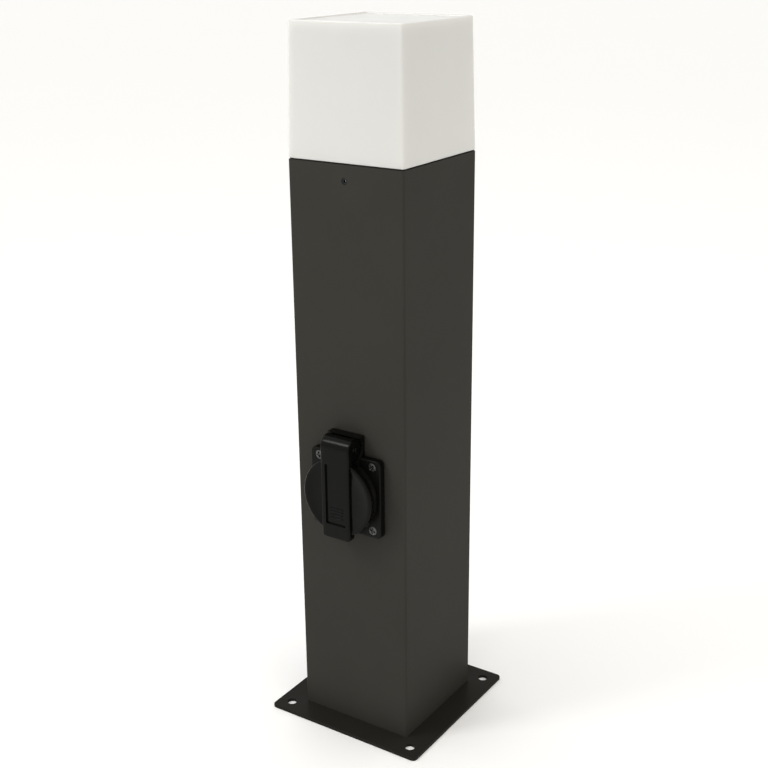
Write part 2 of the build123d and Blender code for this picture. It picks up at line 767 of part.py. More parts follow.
with BuildPart() as socket_cover:
    with BuildSketch(front_plane(cup_back)):
        with Locations((0, socket_height)):
            Circle(cup_size / 2)
    extrude(amount=-cover_depth)
    fillet(socket_cover.faces().sort_by(Axis.Y)[-1].edges(), 1.0)
    with BuildSketch(front_plane(cup_back)):
        with Locations((0, socket_height)):
            Circle(cup_bore / 2 - slip)
    extrude(amount=insert_back - cup_back - slip)
    with BuildSketch(front_plane(insert_back - slip)):
        with Locations((0, socket_height)):
            Circle(cup_bore / 2 - slip - cover_wall)
    extrude(amount=-(insert_back - slip - cover_back - cover_wall), mode=Mode.SUBTRACT)
    with BuildSketch(front_plane(cover_back)):
        with Locations((0, socket_height)):
            with Locations(*pole_places):
                Circle(wire_size / 2 + slip)
    extrude(amount=cover_wall, mode=Mode.SUBTRACT)
finish(socket_cover, "socket_cover")

# ---- hinge pin, spring and lid ----
with BuildPart() as hinge_pin:
    with BuildSketch(Plane.YZ.offset(-band_width / 2 + body_gap)):
        with Locations(hinge_place):
            Circle(hinge_pin_size / 2)
    extrude(amount=band_width - 2 * body_gap)
finish(hinge_pin, "hinge_pin")

spring_start = knuckle_right + body_gap + spring_wire / 2
spring_span = spring_space - 2 * body_gap - spring_wire
spring_pitch = spring_span / spring_turns
spring_centre = (spring_start, hinge_y, hinge_z)
with BuildPart() as lid_spring:
    with BuildLine() as coil:
        Helix(spring_pitch, spring_span, spring_radius, center=spring_centre, direction=(1, 0, 0))
    with BuildSketch(Plane(origin=coil.line @ 0, z_dir=coil.line % 0)):
        Circle(spring_wire / 2)
    sweep()
    # both ends turn along the pin, one into the knuckle and one into the lid's cheek
    for end, way in ((spring_start, -1), (spring_start + spring_span, 1)):
        with BuildSketch(Plane.YZ.offset(end - way * spring_wire / 4)):
            with Locations((hinge_y, hinge_z + spring_radius)):
                Circle(spring_end / 2)
        extrude(amount=way * (spring_tang + spring_wire / 4))
finish(lid_spring, "lid_spring")

with BuildPart() as socket_lid:
    # hood round the hinge, left open behind and below between its two cheeks
    with BuildSketch(Plane.YZ.offset(-band_width / 2)):
        with Locations(hinge_place):
            Circle(hood_radius)
    extrude(amount=band_width)
    with BuildSketch(Plane.YZ.offset(-cheek_inner)):
        with Locations(hinge_place):
            Rectangle(hood_radius, hood_radius, align=(Align.MIN, Align.MIN))
            Rectangle(3 * hood_radius, hood_radius, align=(Align.CENTER, Align.MAX))
    extrude(amount=2 * cheek_inner, mode=Mode.SUBTRACT)
    # round cover
    with BuildSketch(front_plane(lid_back)):
        with Locations((0, socket_height)):
            Circle(lid_size / 2)
    extrude(amount=lid_thickness)
    fillet(socket_lid.edges().filter_by(GeomType.CIRCLE).filter_by(
        lambda e: abs(e.radius - lid_size / 2) < 0.01 and e.center().Y < -face - lid_front + 0.01
    ), lid_edge)
    # raised band down the middle
    with BuildSketch(front_plane(lid_back + 1.0)):
        with Locations((0, socket_height)):
            Rectangle(band_width, hinge_rise, align=(Align.CENTER, Align.MIN))
            Rectangle(band_width, band_drop, align=(Align.CENTER, Align.MAX))
        fillet(vertices().group_by(Axis.Z)[0], band_corner)
    extrude(amount=band_face - lid_back - 1.0)
    with BuildSketch(Plane.YZ.offset(-cheek_inner)):
        with Locations(hinge_place):
            Circle(hood_radius - hood_wall)
            Rectangle(2 * hood_radius, hood_radius - 0.5, align=(Align.MIN, Align.MAX))
        with Locations((-(face + band_face - hood_wall), hinge_z)):
            Rectangle(2 * hood_radius, hood_radius - 0.5, align=(Align.MIN, Align.MAX))
    extrude(amount=2 * cheek_inner, mode=Mode.SUBTRACT)
    # sunk panel in the band
    with BuildSketch(front_plane(band_face)):
        with Locations((0, socket_height - panel_low)):
            Rectangle(
                band_width - 2 * panel_rim,
                panel_low + panel_high,
                align=(Align.CENTER, Align.MIN),
            )
    extrude(amount=-panel_depth, mode=Mode.SUBTRACT)
    with BuildSketch(Plane.YZ.offset(cheek_inner)):
        with Locations((hinge_y, hinge_z + spring_radius)):
            Circle(spring_wire / 2 + slip)
    extrude(amount=spring_tang - slip, mode=Mode.SUBTRACT)
    # pin bore and the groove for the seal
    with BuildSketch(Plane.YZ.offset(-band_width / 2)):
        with Locations(hinge_place):
            Circle(hinge_pin_size / 2 + turning_fit)
    extrude(amount=band_width, mode=Mode.SUBTRACT)
    seal_radius = (collar_size + well_size) / 4
    with BuildSketch(front_plane(lid_back)):
        with Locations((0, socket_height)):
            Circle(seal_radius + lid_seal_width / 2 + turning_fit)
            Circle(seal_radius - lid_seal_width / 2 - turning_fit, mode=Mode.SUBTRACT)
    extrude(amount=lid_seal_depth, mode=Mode.SUBTRACT)
finish(socket_lid, "socket_lid")

with BuildPart() as lid_gasket:
    with BuildSketch(front_plane(collar_front + lid_seal_gap)):
        with Locations((0, socket_height)):
            Circle(seal_radius + lid_seal_width / 2)
            Circle(seal_radius - lid_seal_width / 2, mode=Mode.SUBTRACT)
    extrude(amount=lid_gap - lid_seal_gap + lid_seal_depth)
finish(lid_gasket, "lid_gasket")

# ---- wires, each one bent in a single upright plane ----
wire_start = -(face + insert_back - terminal_depth) - 3.0
wire_rise = block_bottom + 4.0 - socket_height
wire_bend = 0.8 * min(pole_y - wire_start, wire_rise)


def wire(name, points, bends):
    """Round wire along straight runs and tangent arcs, with its length checked."""
    with BuildPart() as piece:
        with BuildLine() as route:
            if bends:
                FilletPolyline(*points, radius=bends)
            else:
                Line(*points)
        with BuildSketch(Plane(origin=route.line @ 0, z_dir=route.line % 0)):
            Circle(wire_size / 2)
        sweep()
    length = sum(e.length for e in route.line.edges())
    ideal = length * 3.14159265 * (wire_size / 2) ** 2
    print(name, "length", round(length, 1), "bends", bends, "volume", round(piece.part.volume / ideal, 4))
    finish(piece, name)


for name, x in (("socket_live_wire", -pole_pitch), ("socket_earth_wire", 0), ("socket_neutral_wire", pole_pitch)):
    corner = (x, pole_y, socket_height)
    wire(name, [(x, wire_start, socket_height), corner, (x, pole_y, block_bottom + 4.0)], [wire_bend])

lamp_turn = block_top + (shelf_under - block_top) * 0.5
lamp_bend = 0.45 * min(lamp_turn - block_top, pole_y)
for name, x in (("lamp_live_wire", -pole_pitch), ("lamp_neutral_wire", pole_pitch)):
    lamp_points = [
        (x, pole_y, block_top - 4.0),
        (x, pole_y, lamp_turn),
        (x, 0, lamp_turn),
        (x, 0, shelf_top + wire_entry),
    ]
    wire(name, lamp_points, [lamp_bend, lamp_bend])

link_low = block_top + 3.0
link_high = crimp_top - crimp_length - 2.0
link_run = ((pole_y - crimp_y) ** 2 + (link_high - link_low) ** 2) ** 0.5
link_points = [
    (0, pole_y, block_top - 4.0),
    (0, pole_y, link_low),
    (0, crimp_y, link_high),
    (0, crimp_y, crimp_top - 1.0),
]
link_turn = Vector(0, 0, 1).get_angle(Vector(0, crimp_y - pole_y, link_high - link_low))
link_bend = 0.45 * min(7.0, link_run, crimp_length) / tan(radians(link_turn / 2))
wire("earth_link_wire", link_points, [link_bend, link_bend])
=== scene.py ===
import json
import math

import bmesh
import bpy
from bpy.props import FloatProperty, FloatVectorProperty, IntProperty, PointerProperty
from mathutils import Matrix, Vector


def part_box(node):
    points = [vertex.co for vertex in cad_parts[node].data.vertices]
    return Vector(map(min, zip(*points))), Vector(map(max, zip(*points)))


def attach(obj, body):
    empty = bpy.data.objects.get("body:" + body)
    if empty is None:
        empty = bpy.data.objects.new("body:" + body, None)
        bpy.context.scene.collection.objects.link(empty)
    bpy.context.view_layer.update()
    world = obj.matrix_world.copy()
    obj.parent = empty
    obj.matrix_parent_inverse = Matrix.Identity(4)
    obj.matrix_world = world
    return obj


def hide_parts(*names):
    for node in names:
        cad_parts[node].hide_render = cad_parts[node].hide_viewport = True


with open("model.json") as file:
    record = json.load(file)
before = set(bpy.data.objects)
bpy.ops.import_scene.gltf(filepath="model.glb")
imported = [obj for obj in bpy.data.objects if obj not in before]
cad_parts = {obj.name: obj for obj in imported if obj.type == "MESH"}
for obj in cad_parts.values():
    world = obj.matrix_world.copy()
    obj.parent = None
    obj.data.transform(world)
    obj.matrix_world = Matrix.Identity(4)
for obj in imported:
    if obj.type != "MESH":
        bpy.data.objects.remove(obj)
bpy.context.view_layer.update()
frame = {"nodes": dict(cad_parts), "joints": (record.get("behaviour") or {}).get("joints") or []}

bl_info = {
    "name": "Garden bollard light",
    "version": (1, 0, 0),
    "blender": (4, 5, 0),
    "location": "3D View > Sidebar > Bollard",
    "description": "Square bollard light with an opal cap and a covered power socket",
    "category": "Object",
}

MM = 0.001
NODES = frame["nodes"]
HINGE = Vector(frame["joints"][0]["pos_m"])
FACE_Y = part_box("post_tube")[0].y
SOCKET_Z = (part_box("lid_gasket")[0].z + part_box("lid_gasket")[1].z) / 2
LID_LOW, LID_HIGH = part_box("socket_lid")
CAP_LOW, CAP_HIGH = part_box("diffuser")

# Opal cap: how much it narrows towards the top, the step in to its skirt, and its walls.
CAP_DRAFT = 1.7 * MM
SKIRT_STEP = 1.8 * MM
SKIRT_WALL = 2.0 * MM
SKIRT_CHAMFER = 0.4 * MM
SKIRT_CORNER = 1.4 * MM
TIGHT_CORNER = 1.2 * MM
SEAL_CORNER = 1.5 * MM
TRAY_DEPTH = 0.8 * MM
ROOF_THICKNESS = 2.5 * MM
ROOF_ROUND = 2.0 * MM

# Flange screws: radius of the head and of the shank, and the sides of their circles.
SCREW_HEAD = 2.9 * MM
SCREW_SHANK = 1.5 * MM
SCREW_STEPS = 48

# Lid: heights are from the socket's centre, and widths from its middle.
GROOVE_DEPTH = 1.5 * MM
DISC_THICKNESS = 4.3 * MM
SEAL_WIDTH = 1.8 * MM
BAND_HALF = 10.3 * MM
BAND_CORNER = 3.0 * MM
PANEL_MARGIN = 3.0 * MM
PANEL_LOW = -17.8 * MM
PANEL_HIGH = 21.7 * MM
PANEL_WALL = 0.35 * MM
HOOD_WALL = 1.8 * MM
CHEEK_OUTER = 10.27 * MM
CHEEK_INNER = 7.8 * MM
RIB_LOWEST = -13.5
RIB_PITCH = 2.1


# ---------------------------------------------------------------- settings


class BollardFinishSettings(bpy.types.PropertyGroup):
    """Colours and surface values of the bollard."""

    coat_colour: FloatVectorProperty(
        name="Powder coat",
        description="Colour of the post and the base plate",
        subtype="COLOR",
        size=3,
        min=0.0,
        max=1.0,
        default=(0.0350, 0.0332, 0.0290),
    )
    coat_roughness: FloatProperty(
        name="Coat roughness",
        description="How matt the powder coat is",
        default=0.40,
        min=0.05,
        max=1.0,
    )
    opal_colour: FloatVectorProperty(
        name="Opal cap",
        description="Colour of the light cap",
        subtype="COLOR",
        size=3,
        min=0.0,
        max=1.0,
        default=(0.645, 0.642, 0.620),
    )
    plastic_colour: FloatVectorProperty(
        name="Socket plastic",
        description="Colour of the socket and its lid",
        subtype="COLOR",
        size=3,
        min=0.0,
        max=1.0,
        default=(0.0034, 0.0034, 0.0030),
    )


class BollardSizeSettings(bpy.types.PropertyGroup):
    """Roundings and small features that can be changed without changing the frame."""

    cap_corner: FloatProperty(
        name="Cap corner",
        description="Radius of the cap's upright edges",
        default=1.6 * MM,
        min=0.2 * MM,
        unit="LENGTH",
    )
    cap_edge: FloatProperty(
        name="Cap top edge",
        description="Radius of the cap's top edges",
        default=0.7 * MM,
        min=0.1 * MM,
        unit="LENGTH",
    )
    cap_rim: FloatProperty(
        name="Cap rim",
        description="Width of the raised rim round the top of the cap",
        default=2.2 * MM,
        min=0.5 * MM,
        unit="LENGTH",
    )
    band_edge: FloatProperty(
        name="Lid band edge",
        description="Radius along the edges of the raised band on the lid",
        default=0.8 * MM,
        min=0.1 * MM,
        unit="LENGTH",
    )
    panel_depth: FloatProperty(
        name="Panel depth",
        description="How far the panel in the lid's band is sunk",
        default=1.2 * MM,
        min=0.0,
        unit="LENGTH",
    )
    round_steps: IntProperty(
        name="Steps round a circle",
        description="How many sides a round piece is made of",
        default=96,
        min=24,
        max=256,
    )


class BollardStageSettings(bpy.types.PropertyGroup):
    """Camera and studio light."""

    lens: FloatProperty(
        name="Lens",
        description="Focal length of the camera in millimetres",
        default=59.52,
        min=10.0,
    )
    camera_distance: FloatProperty(
        name="Camera distance",
        description="Distance from the camera to the point that it looks at",
        default=0.7971,
        min=0.2,
        unit="LENGTH",
    )
    key_power: FloatProperty(
        name="Key light",
        description="Power of the soft light on the left",
        default=3.2,
        min=0.0,
    )
    fill_power: FloatProperty(
        name="Fill light",
        description="Power of the soft light on the right",
        default=2.0,
        min=0.0,
    )
    room_light: FloatProperty(
        name="Room light",
        description="Strength of the even light from all round",
        default=1.04,
        min=0.0,
    )


# ---------------------------------------------------------------- shader maths


class Value:
    """A node socket that can stand in a sum; each operation adds its Math node."""

    def __init__(self, finish, socket):
        self.finish = finish
        self.socket = socket

    def maths(self, operation, first, second=0.0):
        sockets = {0: first, 1: second}
        return self.finish.node("ShaderNodeMath", {"operation": operation}, sockets)[0]

    def __add__(self, other):
        return self.maths("ADD", self, other)

    def __radd__(self, other):
        return self.maths("ADD", other, self)

    def __sub__(self, other):
        return self.maths("SUBTRACT", self, other)

    def __mul__(self, other):
        return self.maths("MULTIPLY", self, other)

    def sine(self):
        return self.maths("SINE", self)


class Sockets:
    """The outputs of a node, by name or number."""

    def __init__(self, finish, made):
        self.finish = finish
        self.made = made

    def __getitem__(self, key):
        return Value(self.finish, self.made.outputs[key])


class Finish:
    """A material in the making: its node tree and its shader."""

    def __init__(self, name, **uniform):
        self.material = bpy.data.materials.new(name)
        self.material.use_nodes = True
        self.tree = self.material.node_tree
        self.shader = self.tree.nodes["Principled BSDF"]
        for key, value in uniform.items():
            self.shader.inputs[key.replace("_", " ")].default_value = value
        self.place = self.node("ShaderNodeTexCoord")["Object"]

    def node(self, kind, settings=None, sockets=None):
        """Add any node: settings first, then the values or links of its sockets."""
        made = self.tree.nodes.new(kind)
        for key, value in (settings or {}).items():
            setattr(made, key, value)
        for key, value in (sockets or {}).items():
            if isinstance(value, Value):
                self.tree.links.new(value.socket, made.inputs[key])
            else:
                made.inputs[key].default_value = value
        return Sockets(self, made)

    def feed(self, socket, value):
        """Link a varying value to the shader."""
        self.tree.links.new(value.socket, self.shader.inputs[socket])

    def noise(self, scale, detail=2.0, roughness=0.5, stretch=(1.0, 1.0, 1.0)):
        """Noise from 0 to 1 in the object's own space; scale is in waves per metre."""
        place = self.node(
            "ShaderNodeMapping", None, {"Vector": self.place, "Scale": stretch}
        )["Vector"]
        sockets = {"Vector": place, "Scale": scale, "Detail": detail, "Roughness": roughness}
        return self.node("ShaderNodeTexNoise", None, sockets)[0]

    def ramp(self, value, low, high):
        """0 below low and 1 above high, with a soft step between."""
        return self.node(
            "ShaderNodeMapRange",
            {"interpolation_type": "SMOOTHSTEP"},
            {"Value": value, "From Min": low, "From Max": high},
        )[0]

    def mix(self, factor, first, second):
        """Blend two colours."""
        first = (*first, 1.0) if isinstance(first, tuple) else first
        second = (*second, 1.0) if isinstance(second, tuple) else second
        sockets = {0: factor, 6: first, 7: second}
        return self.node("ShaderNodeMix", {"data_type": "RGBA"}, sockets)[2]

    def axis(self, number):
        """One coordinate of the place on the object, in metres."""
        return self.node("ShaderNodeSeparateXYZ", None, {0: self.place})[number]

    def bump(self, height, depth, strength):
        """Feed a height, which goes down by depth metres, to the normal."""
        normal = self.node(
            "ShaderNodeBump", None, {"Height": height, "Distance": depth, "Strength": strength}
        )["Normal"]
        self.feed("Normal", normal)


def shade_of(colour, factor):
    return tuple(min(1.0, c * factor) for c in colour)


def powder_coat(name, colour, roughness):
    """Baked polyester powder: fine orange peel and tiny pits."""
    finish = Finish(name, Specular_IOR_Level=0.02)
    peel = finish.noise(520.0, detail=2.0)
    grain = finish.noise(2600.0, detail=1.0)
    cloud = finish.noise(18.0, detail=3.0, roughness=0.6)
    pits = finish.ramp(finish.noise(900.0, detail=0.0), low=0.70, high=0.80)
    base = finish.mix(cloud, shade_of(colour, 0.88), shade_of(colour, 1.12))
    base = finish.mix(grain * 0.35, base, shade_of(colour, 1.5))
    finish.feed("Base Color", base)
    finish.feed("Roughness", roughness - 0.05 + cloud * 0.06 + grain * 0.06)
    finish.bump(peel * 0.55 + grain * 0.35 - pits * 0.25, depth=0.00006, strength=0.55)
    return finish.material


def opal_acrylic(name, colour, roughness=0.20):
    """Milky acrylic: light goes a little way in, with faint flow marks on the skin."""
    finish = Finish(name, Subsurface_Weight=0.35, Subsurface_Scale=0.012)
    finish.shader.inputs["Subsurface Radius"].default_value = (1.0, 0.95, 0.9)
    flow = finish.noise(26.0, detail=2.0, roughness=0.5, stretch=(1.0, 1.0, 0.35))
    skin = finish.noise(700.0, detail=1.0)
    marks = finish.ramp(finish.noise(60.0, detail=4.0, roughness=0.7), low=0.62, high=0.80)
    base = finish.mix(flow, shade_of(colour, 0.975), shade_of(colour, 1.02))
    base = finish.mix(marks * 0.05, base, (0.62, 0.60, 0.55))
    finish.feed("Base Color", base)
    finish.feed("Roughness", roughness + flow * 0.06 + marks * 0.08)
    finish.bump(flow * 0.7 + skin * 0.05, depth=0.0001, strength=0.15)
    return finish.material


def moulded_plastic(name, colour, roughness, grain_depth=0.00003, gloss=0.09):
    """Injection-moulded plastic with a spark-eroded grain and slight handling marks."""
    finish = Finish(name, Specular_IOR_Level=gloss)
    grain = finish.noise(3800.0, detail=1.0)
    broad = finish.noise(45.0, detail=3.0, roughness=0.6)
    rubbed = finish.ramp(finish.noise(130.0, detail=4.0, roughness=0.65), low=0.60, high=0.78)
    base = finish.mix(broad, shade_of(colour, 0.85), shade_of(colour, 1.2))
    base = finish.mix(rubbed * 0.25, base, shade_of(colour, 1.9))
    finish.feed("Base Color", base)
    finish.feed("Roughness", roughness + broad * 0.06 + grain * 0.05 - rubbed * 0.06)
    finish.bump(grain * 0.6 + broad * 0.2, grain_depth, 0.6)
    return finish.material


def plated_metal(name, colour, roughness, scratch=0.25, turned=True):
    """Metal with a fine lay of tool marks and small scratches."""
    finish = Finish(name, Metallic=1.0)
    stretch = (1.0, 1.0, 0.15 if turned else 1.0)
    lay = finish.noise(2200.0, detail=2.0, roughness=0.6, stretch=stretch)
    cloud = finish.noise(160.0, detail=3.0, roughness=0.6)
    streaks = finish.noise(900.0, detail=1.0, roughness=0.5, stretch=(0.08, 1.0, 1.0))
    lines = finish.ramp(streaks, low=0.60, high=0.70)
    base = finish.mix(cloud, shade_of(colour, 0.82), shade_of(colour, 1.08))
    base = finish.mix(lines * scratch, base, shade_of(colour, 1.25))
    finish.feed("Base Color", base)
    finish.feed("Roughness", roughness + cloud * 0.10 + lay * 0.06)
    finish.bump(lay * 0.5 + lines * 0.3, depth=0.00003, strength=0.4)
    return finish.material


def soft_rubber(name, colour, roughness=0.78):
    """Matt rubber or sealing foam with a fine open skin."""
    finish = Finish(name, Specular_IOR_Level=0.3)
    pores = finish.noise(2400.0, detail=2.0, roughness=0.6)
    cloud = finish.noise(90.0, detail=3.0)
    finish.feed("Base Color", finish.mix(cloud, shade_of(colour, 0.8), shade_of(colour, 1.35)))
    finish.feed("Roughness", roughness - 0.05 + pores * 0.12)
    finish.bump(pores, depth=0.00006, strength=0.6)
    return finish.material


def wire_sleeve(name, colour, stripe=None):
    """PVC insulation, with a second colour along it for the earth wires."""
    finish = Finish(name, Specular_IOR_Level=0.45)
    skin = finish.noise(1500.0, detail=2.0)
    cloud = finish.noise(120.0, detail=2.0)
    base = finish.mix(cloud, shade_of(colour, 0.9), shade_of(colour, 1.1))
    if stripe:
        slant = finish.axis(0) * 2200.0 + finish.axis(2) * 300.0 + finish.axis(1) * 300.0
        turn = slant.sine()
        base = finish.mix(finish.ramp(turn, low=-0.1, high=0.1), base, stripe)
    finish.feed("Base Color", base)
    finish.feed("Roughness", 0.40 + skin * 0.1)
    finish.bump(skin, depth=0.00002, strength=0.5)
    return finish.material


def pale_floor(name):
    """Smooth studio paper."""
    finish = Finish(name, Specular_IOR_Level=0.2)
    cloud = finish.noise(1.5, detail=2.0)
    finish.feed("Base Color", finish.mix(cloud, (0.955, 0.955, 0.955), (0.965, 0.965, 0.96)))
    finish.feed("Roughness", 0.55 + cloud * 0.05)
    return finish.material


# ---------------------------------------------------------------- mesh making


def rounded_square(half, corner, height, steps=6):
    """Points anticlockwise round a square with round corners, at one height."""
    points = []
    for quarter in range(4):
        start = quarter * math.pi / 2
        cx = (half - corner) * (1 if quarter in (0, 3) else -1)
        cy = (half - corner) * (1 if quarter in (0, 1) else -1)
        for step in range(steps + 1):
            angle = start + step * math.pi / 2 / steps
            points.append(
                Vector((cx + corner * math.cos(angle), cy + corner * math.sin(angle), height))
            )
    return points


def skin(mesh, loops, closed_ring=False, ends=True):
    """Bridge loops of equal length with quads; cap the first and last unless they meet."""
    rings = [[mesh.verts.new(point) for point in loop] for loop in loops]
    pairs = list(zip(rings, rings[1:]))
    if closed_ring:
        pairs.append((rings[-1], rings[0]))
    for lower, upper in pairs:
        count = len(lower)
        for i in range(count):
            j = (i + 1) % count
            mesh.faces.new((lower[i], lower[j], upper[j], upper[i]))
    if ends and not closed_ring:
        mesh.faces.new(list(reversed(rings[0])))
        mesh.faces.new(rings[-1])
    return rings


def lathe(mesh, profile, centre, axis, side, steps):
    """Turn a profile of (radius, distance along the axis) round the axis; it closes on itself."""
    axis = Vector(axis).normalized()
    side = Vector(side).normalized()
    third = axis.cross(side)
    closed = profile[0][0] > 1e-9
    loops = []
    for radius, along in profile:
        if radius < 1e-9:
            loops.append([Vector(centre) + axis * along])
            continue
        ring = []
        for i in range(steps):
            angle = 2 * math.pi * i / steps
            arm = side * math.cos(angle) + third * math.sin(angle)
            ring.append(Vector(centre) + axis * along + arm * radius)
        loops.append(ring)
    rings = [[mesh.verts.new(point) for point in loop] for loop in loops]
    pairs = list(zip(rings, rings[1:]))
    if closed:
        pairs.append((rings[-1], rings[0]))
    for lower, upper in pairs:
        for i in range(steps):
            j = (i + 1) % steps
            if len(lower) == 1 and len(upper) == 1:
                continue
            if len(lower) == 1:
                mesh.faces.new((lower[0], upper[j], upper[i]))
            elif len(upper) == 1:
                mesh.faces.new((lower[i], lower[j], upper[0]))
            else:
                mesh.faces.new((lower[i], lower[j], upper[j], upper[i]))


def arc(centre, radius, start, end, steps):
    """Points of a flat arc, by angles in degrees."""
    out = []
    for i in range(steps + 1):
        angle = math.radians(start + (end - start) * i / steps)
        out.append((centre[0] + radius * math.cos(angle), centre[1] + radius * math.sin(angle)))
    return out


def new_piece(name, mesh, material, body, replaced=(), sharp=32.0):
    """Turn a bmesh into a piece that rides on a body, smooth but for its sharp edges."""
    bmesh.ops.recalc_face_normals(mesh, faces=mesh.faces[:])
    data = bpy.data.meshes.new(name)
    mesh.to_mesh(data)
    mesh.free()
    data.materials.append(material)
    data.shade_smooth()
    data.set_sharp_from_angle(angle=math.radians(sharp))
    piece = bpy.data.objects.new(name, data)
    bpy.context.scene.collection.objects.link(piece)
    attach(piece, body)
    if replaced:
        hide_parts(*replaced)
    return piece


def dress(node, material, edge=0.0):
    """Give a frame node its finish, and soften its edges if edge is a width in metres."""
    thing = NODES[node]
    thing.data.materials.clear()
    thing.data.materials.append(material)
    if edge:
        weld = thing.modifiers.new("join", "WELD")
        weld.merge_threshold = 0.005 * MM
        bevel = thing.modifiers.new("soft edge", "BEVEL")
        bevel.width = edge
        bevel.segments = 2
        bevel.limit_method = "ANGLE"
        bevel.angle_limit = math.radians(40)
        bevel.harden_normals = False
        bevel.use_clamp_overlap = True


def facing(across, up, out):
    """A point by its place on the socket: across, up from its centre, and out from the post."""
    return Vector((across, FACE_Y - out, SOCKET_Z + up))


# ---------------------------------------------------------------- pieces


class BOLLARD_OT_base(bpy.types.Operator):
    """Finish the base plate and the cable bushing"""

    bl_idname = "bollard.base"
    bl_label = "Base plate"

    def execute(self, context):
        finish = context.scene.bollard_finish
        # Painted shade: the plate wears the post's powder coat at half its colour, darker only to
        # stand in for the shade that falls on the plate.
        colour = shade_of(finish.coat_colour, 0.5)
        plate = powder_coat("plate_coat_shaded", colour, finish.coat_roughness - 0.10)
        dress("base_plate", plate)
        dress("cable_bushing", soft_rubber("bushing_rubber", (0.018, 0.018, 0.018)), edge=0.3 * MM)
        return {"FINISHED"}


class BOLLARD_OT_post(bpy.types.Operator):
    """Finish the post"""

    bl_idname = "bollard.post"
    bl_label = "Post"

    def execute(self, context):
        finish = context.scene.bollard_finish
        coat = powder_coat("post_coat", tuple(finish.coat_colour), finish.coat_roughness)
        dress("post_tube", coat)
        return {"FINISHED"}


class BOLLARD_OT_cap(bpy.types.Operator):
    """Make the opal cap and its neck seal, and finish the set screws"""

    bl_idname = "bollard.cap"
    bl_label = "Opal cap"

    def execute(self, context):
        seal_low, seal_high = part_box("diffuser_seal")
        skirt_half = CAP_HIGH.x - SKIRT_STEP
        mesh = self.cap(context.scene.bollard_sizes, skirt_half, seal_high.z)
        opal = opal_acrylic("opal_cap", tuple(context.scene.bollard_finish.opal_colour))
        new_piece("opal_cap", mesh, opal, "post", ("diffuser",), 50.0)

        foam = soft_rubber("neck_seal_foam", (0.012, 0.012, 0.012), roughness=0.85)
        mesh = self.neck_seal(skirt_half + 0.1 * MM, seal_low.z, seal_high)
        new_piece("neck_seal", mesh, foam, "post", ("diffuser_seal",))

        colour = (0.035, 0.035, 0.037)
        black = plated_metal("set_screw_black_oxide", colour, roughness=0.42, scratch=0.15)
        dress("set_screws", black)
        return {"FINISHED"}

    def cap(self, sizes, skirt_half, base_z):
        """A skirt inside the post, walls that narrow upwards, and a tray inside the top rim."""
        top_z = CAP_HIGH.z
        base_half = CAP_HIGH.x
        top_half = base_half - CAP_DRAFT
        corner, edge, rim = sizes.cap_corner, sizes.cap_edge, sizes.cap_rim
        bore = skirt_half - SKIRT_WALL
        tray_z = top_z - TRAY_DEPTH
        mouth_z = CAP_LOW.z + SKIRT_CHAMFER
        loops = [
            rounded_square(bore, TIGHT_CORNER, mouth_z),
            rounded_square(bore + SKIRT_CHAMFER, SKIRT_CORNER, CAP_LOW.z),
            rounded_square(skirt_half - SKIRT_CHAMFER, TIGHT_CORNER, CAP_LOW.z),
            rounded_square(skirt_half, SKIRT_CORNER, mouth_z),
            rounded_square(skirt_half, SKIRT_CORNER, base_z),
        ]
        lip = 0.35 * MM
        for turn in range(5):
            angle = turn * math.pi / 8
            out = base_half - lip + lip * math.sin(angle)
            up = base_z + lip - lip * math.cos(angle)
            loops.append(rounded_square(out, corner, up))
        for level in range(1, 12):
            part = level / 12
            half = base_half + (top_half - base_half) * part
            up = base_z + lip + (top_z - base_z - edge - lip) * part
            loops.append(rounded_square(half, corner, up))
        for turn in range(6):
            angle = turn * math.pi / 10
            out = top_half - edge + edge * math.cos(angle)
            up = top_z - edge + edge * math.sin(angle)
            loops.append(rounded_square(out, corner, up))
        inner = top_half - rim
        round_in = 0.3 * MM
        for turn in range(4):
            angle = turn * math.pi / 6
            out = inner + round_in - round_in * math.sin(angle)
            up = top_z - round_in + round_in * math.cos(angle)
            loops.append(rounded_square(out, corner, up))
        tray_chamfer = 0.15 * MM
        loops.append(rounded_square(inner, corner, tray_z + tray_chamfer))
        loops.append(rounded_square(inner - tray_chamfer, corner, tray_z))
        for part in (0.9, 0.7, 0.45, 0.2):
            loops.append(rounded_square(inner * part, corner * part, tray_z))
        mesh = bmesh.new()
        for part in (loops, self.hollow(bore, mouth_z, tray_z - ROOF_THICKNESS)):
            rings = skin(mesh, part, ends=False)
            mesh.faces.new(rings[-1])
        bmesh.ops.remove_doubles(mesh, verts=mesh.verts[:], dist=0.0005 * MM)
        return mesh

    def hollow(self, bore, mouth_z, roof_z):
        """The inside of the cap, from its mouth to the middle of a roof with round edges."""
        loops = [rounded_square(bore, TIGHT_CORNER, mouth_z)]
        for part in (0.2, 0.4, 0.6, 0.8):
            up = CAP_LOW.z + (roof_z - CAP_LOW.z) * part
            loops.append(rounded_square(bore, TIGHT_CORNER, up))
        loops.append(rounded_square(bore, TIGHT_CORNER, roof_z - ROOF_ROUND))
        for turn in range(1, 5):
            angle = turn * math.pi / 8
            out = bore - ROOF_ROUND + ROOF_ROUND * math.cos(angle)
            up = roof_z - ROOF_ROUND + ROOF_ROUND * math.sin(angle)
            loops.append(rounded_square(out, TIGHT_CORNER, up))
        return loops

    def neck_seal(self, inside, low_z, high):
        """A ring with a round outer edge."""
        bulge = (high.z - low_z) / 2
        middle = (high.z + low_z) / 2
        ring = [rounded_square(inside, TIGHT_CORNER, low_z)]
        for turn in range(7):
            angle = -math.pi / 2 + turn * math.pi / 6
            out = high.x - bulge + bulge * math.cos(angle)
            ring.append(rounded_square(out, SEAL_CORNER, middle + bulge * math.sin(angle)))
        ring.append(rounded_square(inside, TIGHT_CORNER, high.z))
        mesh = bmesh.new()
        skin(mesh, ring, closed_ring=True)
        return mesh


